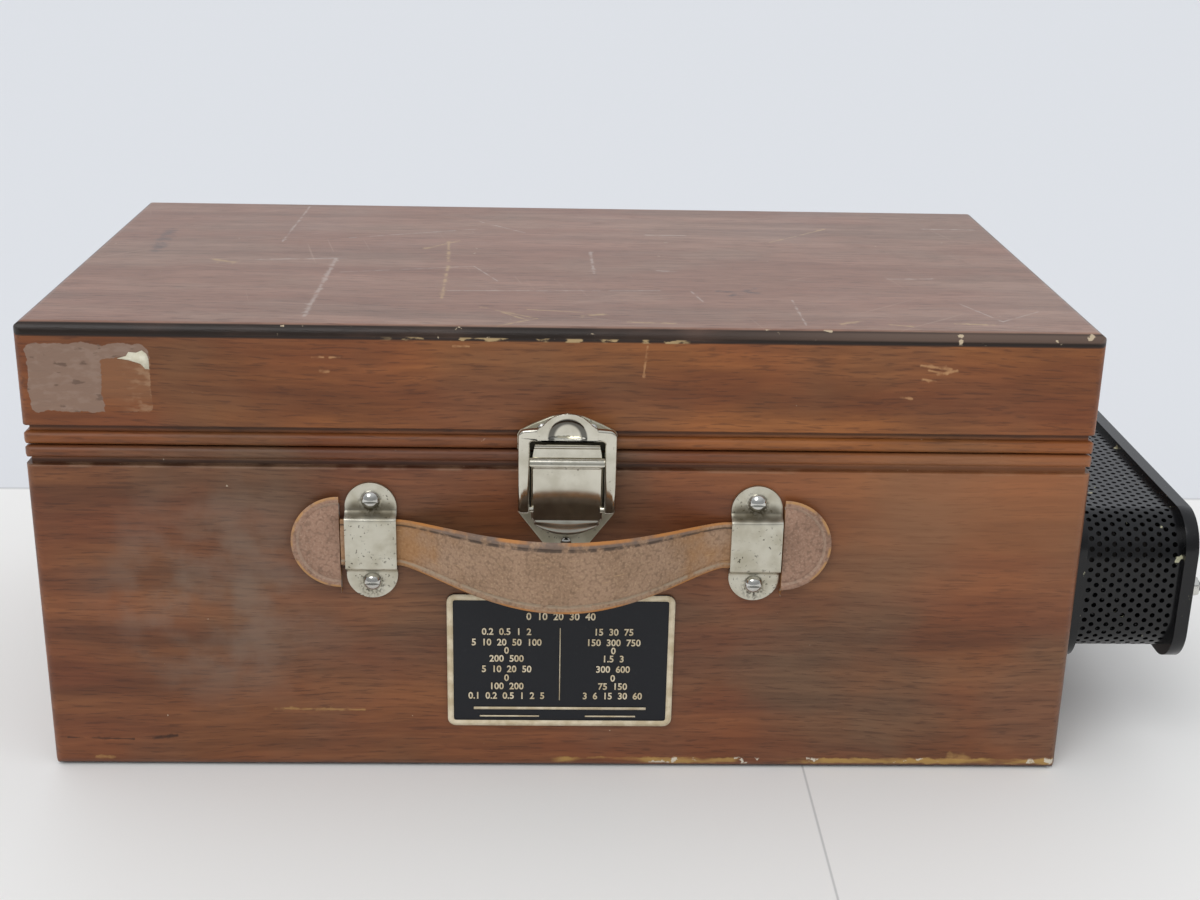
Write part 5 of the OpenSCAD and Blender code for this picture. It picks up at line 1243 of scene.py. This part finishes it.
# %% Paper scrap
shape = flat_outline(((-139.4, 144.7), (-136.6, 145.5), (-135.8, 146.8), (-133.4, 146.6), (-131.6, 147.4),
                      (-130.2, 146.2), (-129.7, 144.6), (-129.7, 141.3), (-130.9, 141.4), (-132.2, 143.0),
                      (-136.0, 144.2)), {0.25: (1, 3, 5, 9)}, front - 0.16)
thicken(make_piece("label_scrap", shape, "lid", [paper_white]), 0.14)

# %% [markdown]
# ## The dial
# Under the glass the dial carries an arc of a hundred parts, with a mirror below it against which the pointer is
# read. The arcs are spun from a short edge, and each tick is a thin bar turned to its place.

# %% Dial
DIAL_Z = box_mm("dial_plate")[1].z + FIGURE_RAISE
DIAL_PIVOT = Vector((-76, -34, DIAL_Z))
SWEEP_FROM, SWEEP = 135.0, 90.0
OUTER_ARC, INNER_ARC, MIRROR_ARC = (67.9, 68.2), (52.9, 53.1), (60.0, 64.0)
OUTER_NUMBERS, INNER_NUMBERS = 76.5, 49.5
ARC_STEPS = 90


def polar(centre, radius, angle):
    """A matrix that stands at a radius and an angle about a centre, with its Y axis pointing outwards."""
    turn = Matrix.Rotation(math.radians(angle - 90), 4, "Z")
    return Matrix.Translation(centre) @ turn @ Matrix.Translation((0, radius, 0))


def add_arc(shape, centre, low, high, angle, sweep, steps):
    """Adds a flat arc between two radii."""
    ends = [shape.verts.new(polar(centre, radius, angle) @ Vector()) for radius in (low, high)]
    edge = shape.edges.new(ends)
    bmesh.ops.spin(shape, geom=ends + [edge], cent=centre, axis=UP, angle=math.radians(sweep), steps=steps)


shape = bmesh.new()
for arc in (OUTER_ARC, INNER_ARC):
    add_arc(shape, DIAL_PIVOT, *arc, SWEEP_FROM, -SWEEP, ARC_STEPS)
face_out(shape, UP)
thicken(make_piece("dial_arcs", shape, "case", [mark_black]), 0.05)

shape = bmesh.new()
for step in range(101):
    angle = SWEEP_FROM - SWEEP * step / 100
    length = 5.0 if step % 10 == 0 else 3.8 if step % 5 == 0 else 2.4
    add_bar(shape, polar(DIAL_PIVOT, 68.0 + length / 2, angle), 0.45 if step % 10 == 0 else 0.25, length)
    if step % 10 == 0:
        add_figures(shape, str(step), 4.4, polar(DIAL_PIVOT, OUTER_NUMBERS, angle))
    if step % 20 == 0:
        add_figures(shape, str(3 * step // 2), 3.2, polar(DIAL_PIVOT, INNER_NUMBERS, angle))
    if step % 4 == 0:
        add_bar(shape, polar(DIAL_PIVOT, 53.9, angle), 0.25, 1.8)
make_piece("dial_figures", shape, "case", [mark_black])

shape = bmesh.new()
add_arc(shape, DIAL_PIVOT, *MIRROR_ARC, SWEEP_FROM + 1, -SWEEP - 2, ARC_STEPS)
face_out(shape, UP)
thicken(make_piece("dial_mirror", shape, "case", [bright_nickel]), 0.05)

# %% [markdown]
# ## The panel's figures
# Each switch has fourteen contacts, so fourteen numbers stand round its knob with a short tick for each. A white line
# on the knob rides on the switch's own body and points at the chosen number.

# %% Panel
PANEL_Z = box_mm("panel")[1].z + FIGURE_RAISE
RANGES = ("0.2", "0.5", "1", "2", "5", "10", "20", "50", "100", "150", "300", "500", "750", "1000")
FIRST_CONTACT, CONTACT_STEP = 120.0, 21.43
TICK_OUT, NUMBER_OUT = 3.0, 8.0
TICK = 0.4, 2.4
PANEL_FIGURE, SIGN_FIGURE, SIGN_GAP = 4.0, 7.0, 6.0

shape = bmesh.new()
for knob, body in (("dc_knob", "dc_switch"), ("ac_knob", "ac_switch")):
    low, high = box_mm(knob)
    centre = Vector(((low.x + high.x) / 2, (low.y + high.y) / 2, PANEL_Z))
    reach = (high.x - low.x) / 2
    for number, words in enumerate(RANGES):
        angle = FIRST_CONTACT - CONTACT_STEP * number
        add_bar(shape, polar(centre, reach + TICK_OUT, angle), *TICK)
        spot = polar(centre, reach + NUMBER_OUT, angle) @ Vector()
        add_figures(shape, words, PANEL_FIGURE, Matrix.Translation(spot))
    pointer = bmesh.new()
    top = Vector((centre.x, centre.y, high.z + FIGURE_RAISE))
    add_bar(pointer, polar(top, reach * 0.55, FIRST_CONTACT), 1.1, reach * 0.7)
    make_piece(knob + "_line", pointer, body, [mark_white])
for cap, words in (("post_cap_left", "-"), ("post_cap_middle", "+"), ("post_cap_right", "+")):
    low, high = box_mm(cap)
    place = Matrix.Translation(((low.x + high.x) / 2, high.y + SIGN_GAP, PANEL_Z))
    add_figures(shape, words, SIGN_FIGURE, place)
make_piece("panel_figures", shape, "case", [mark_white])
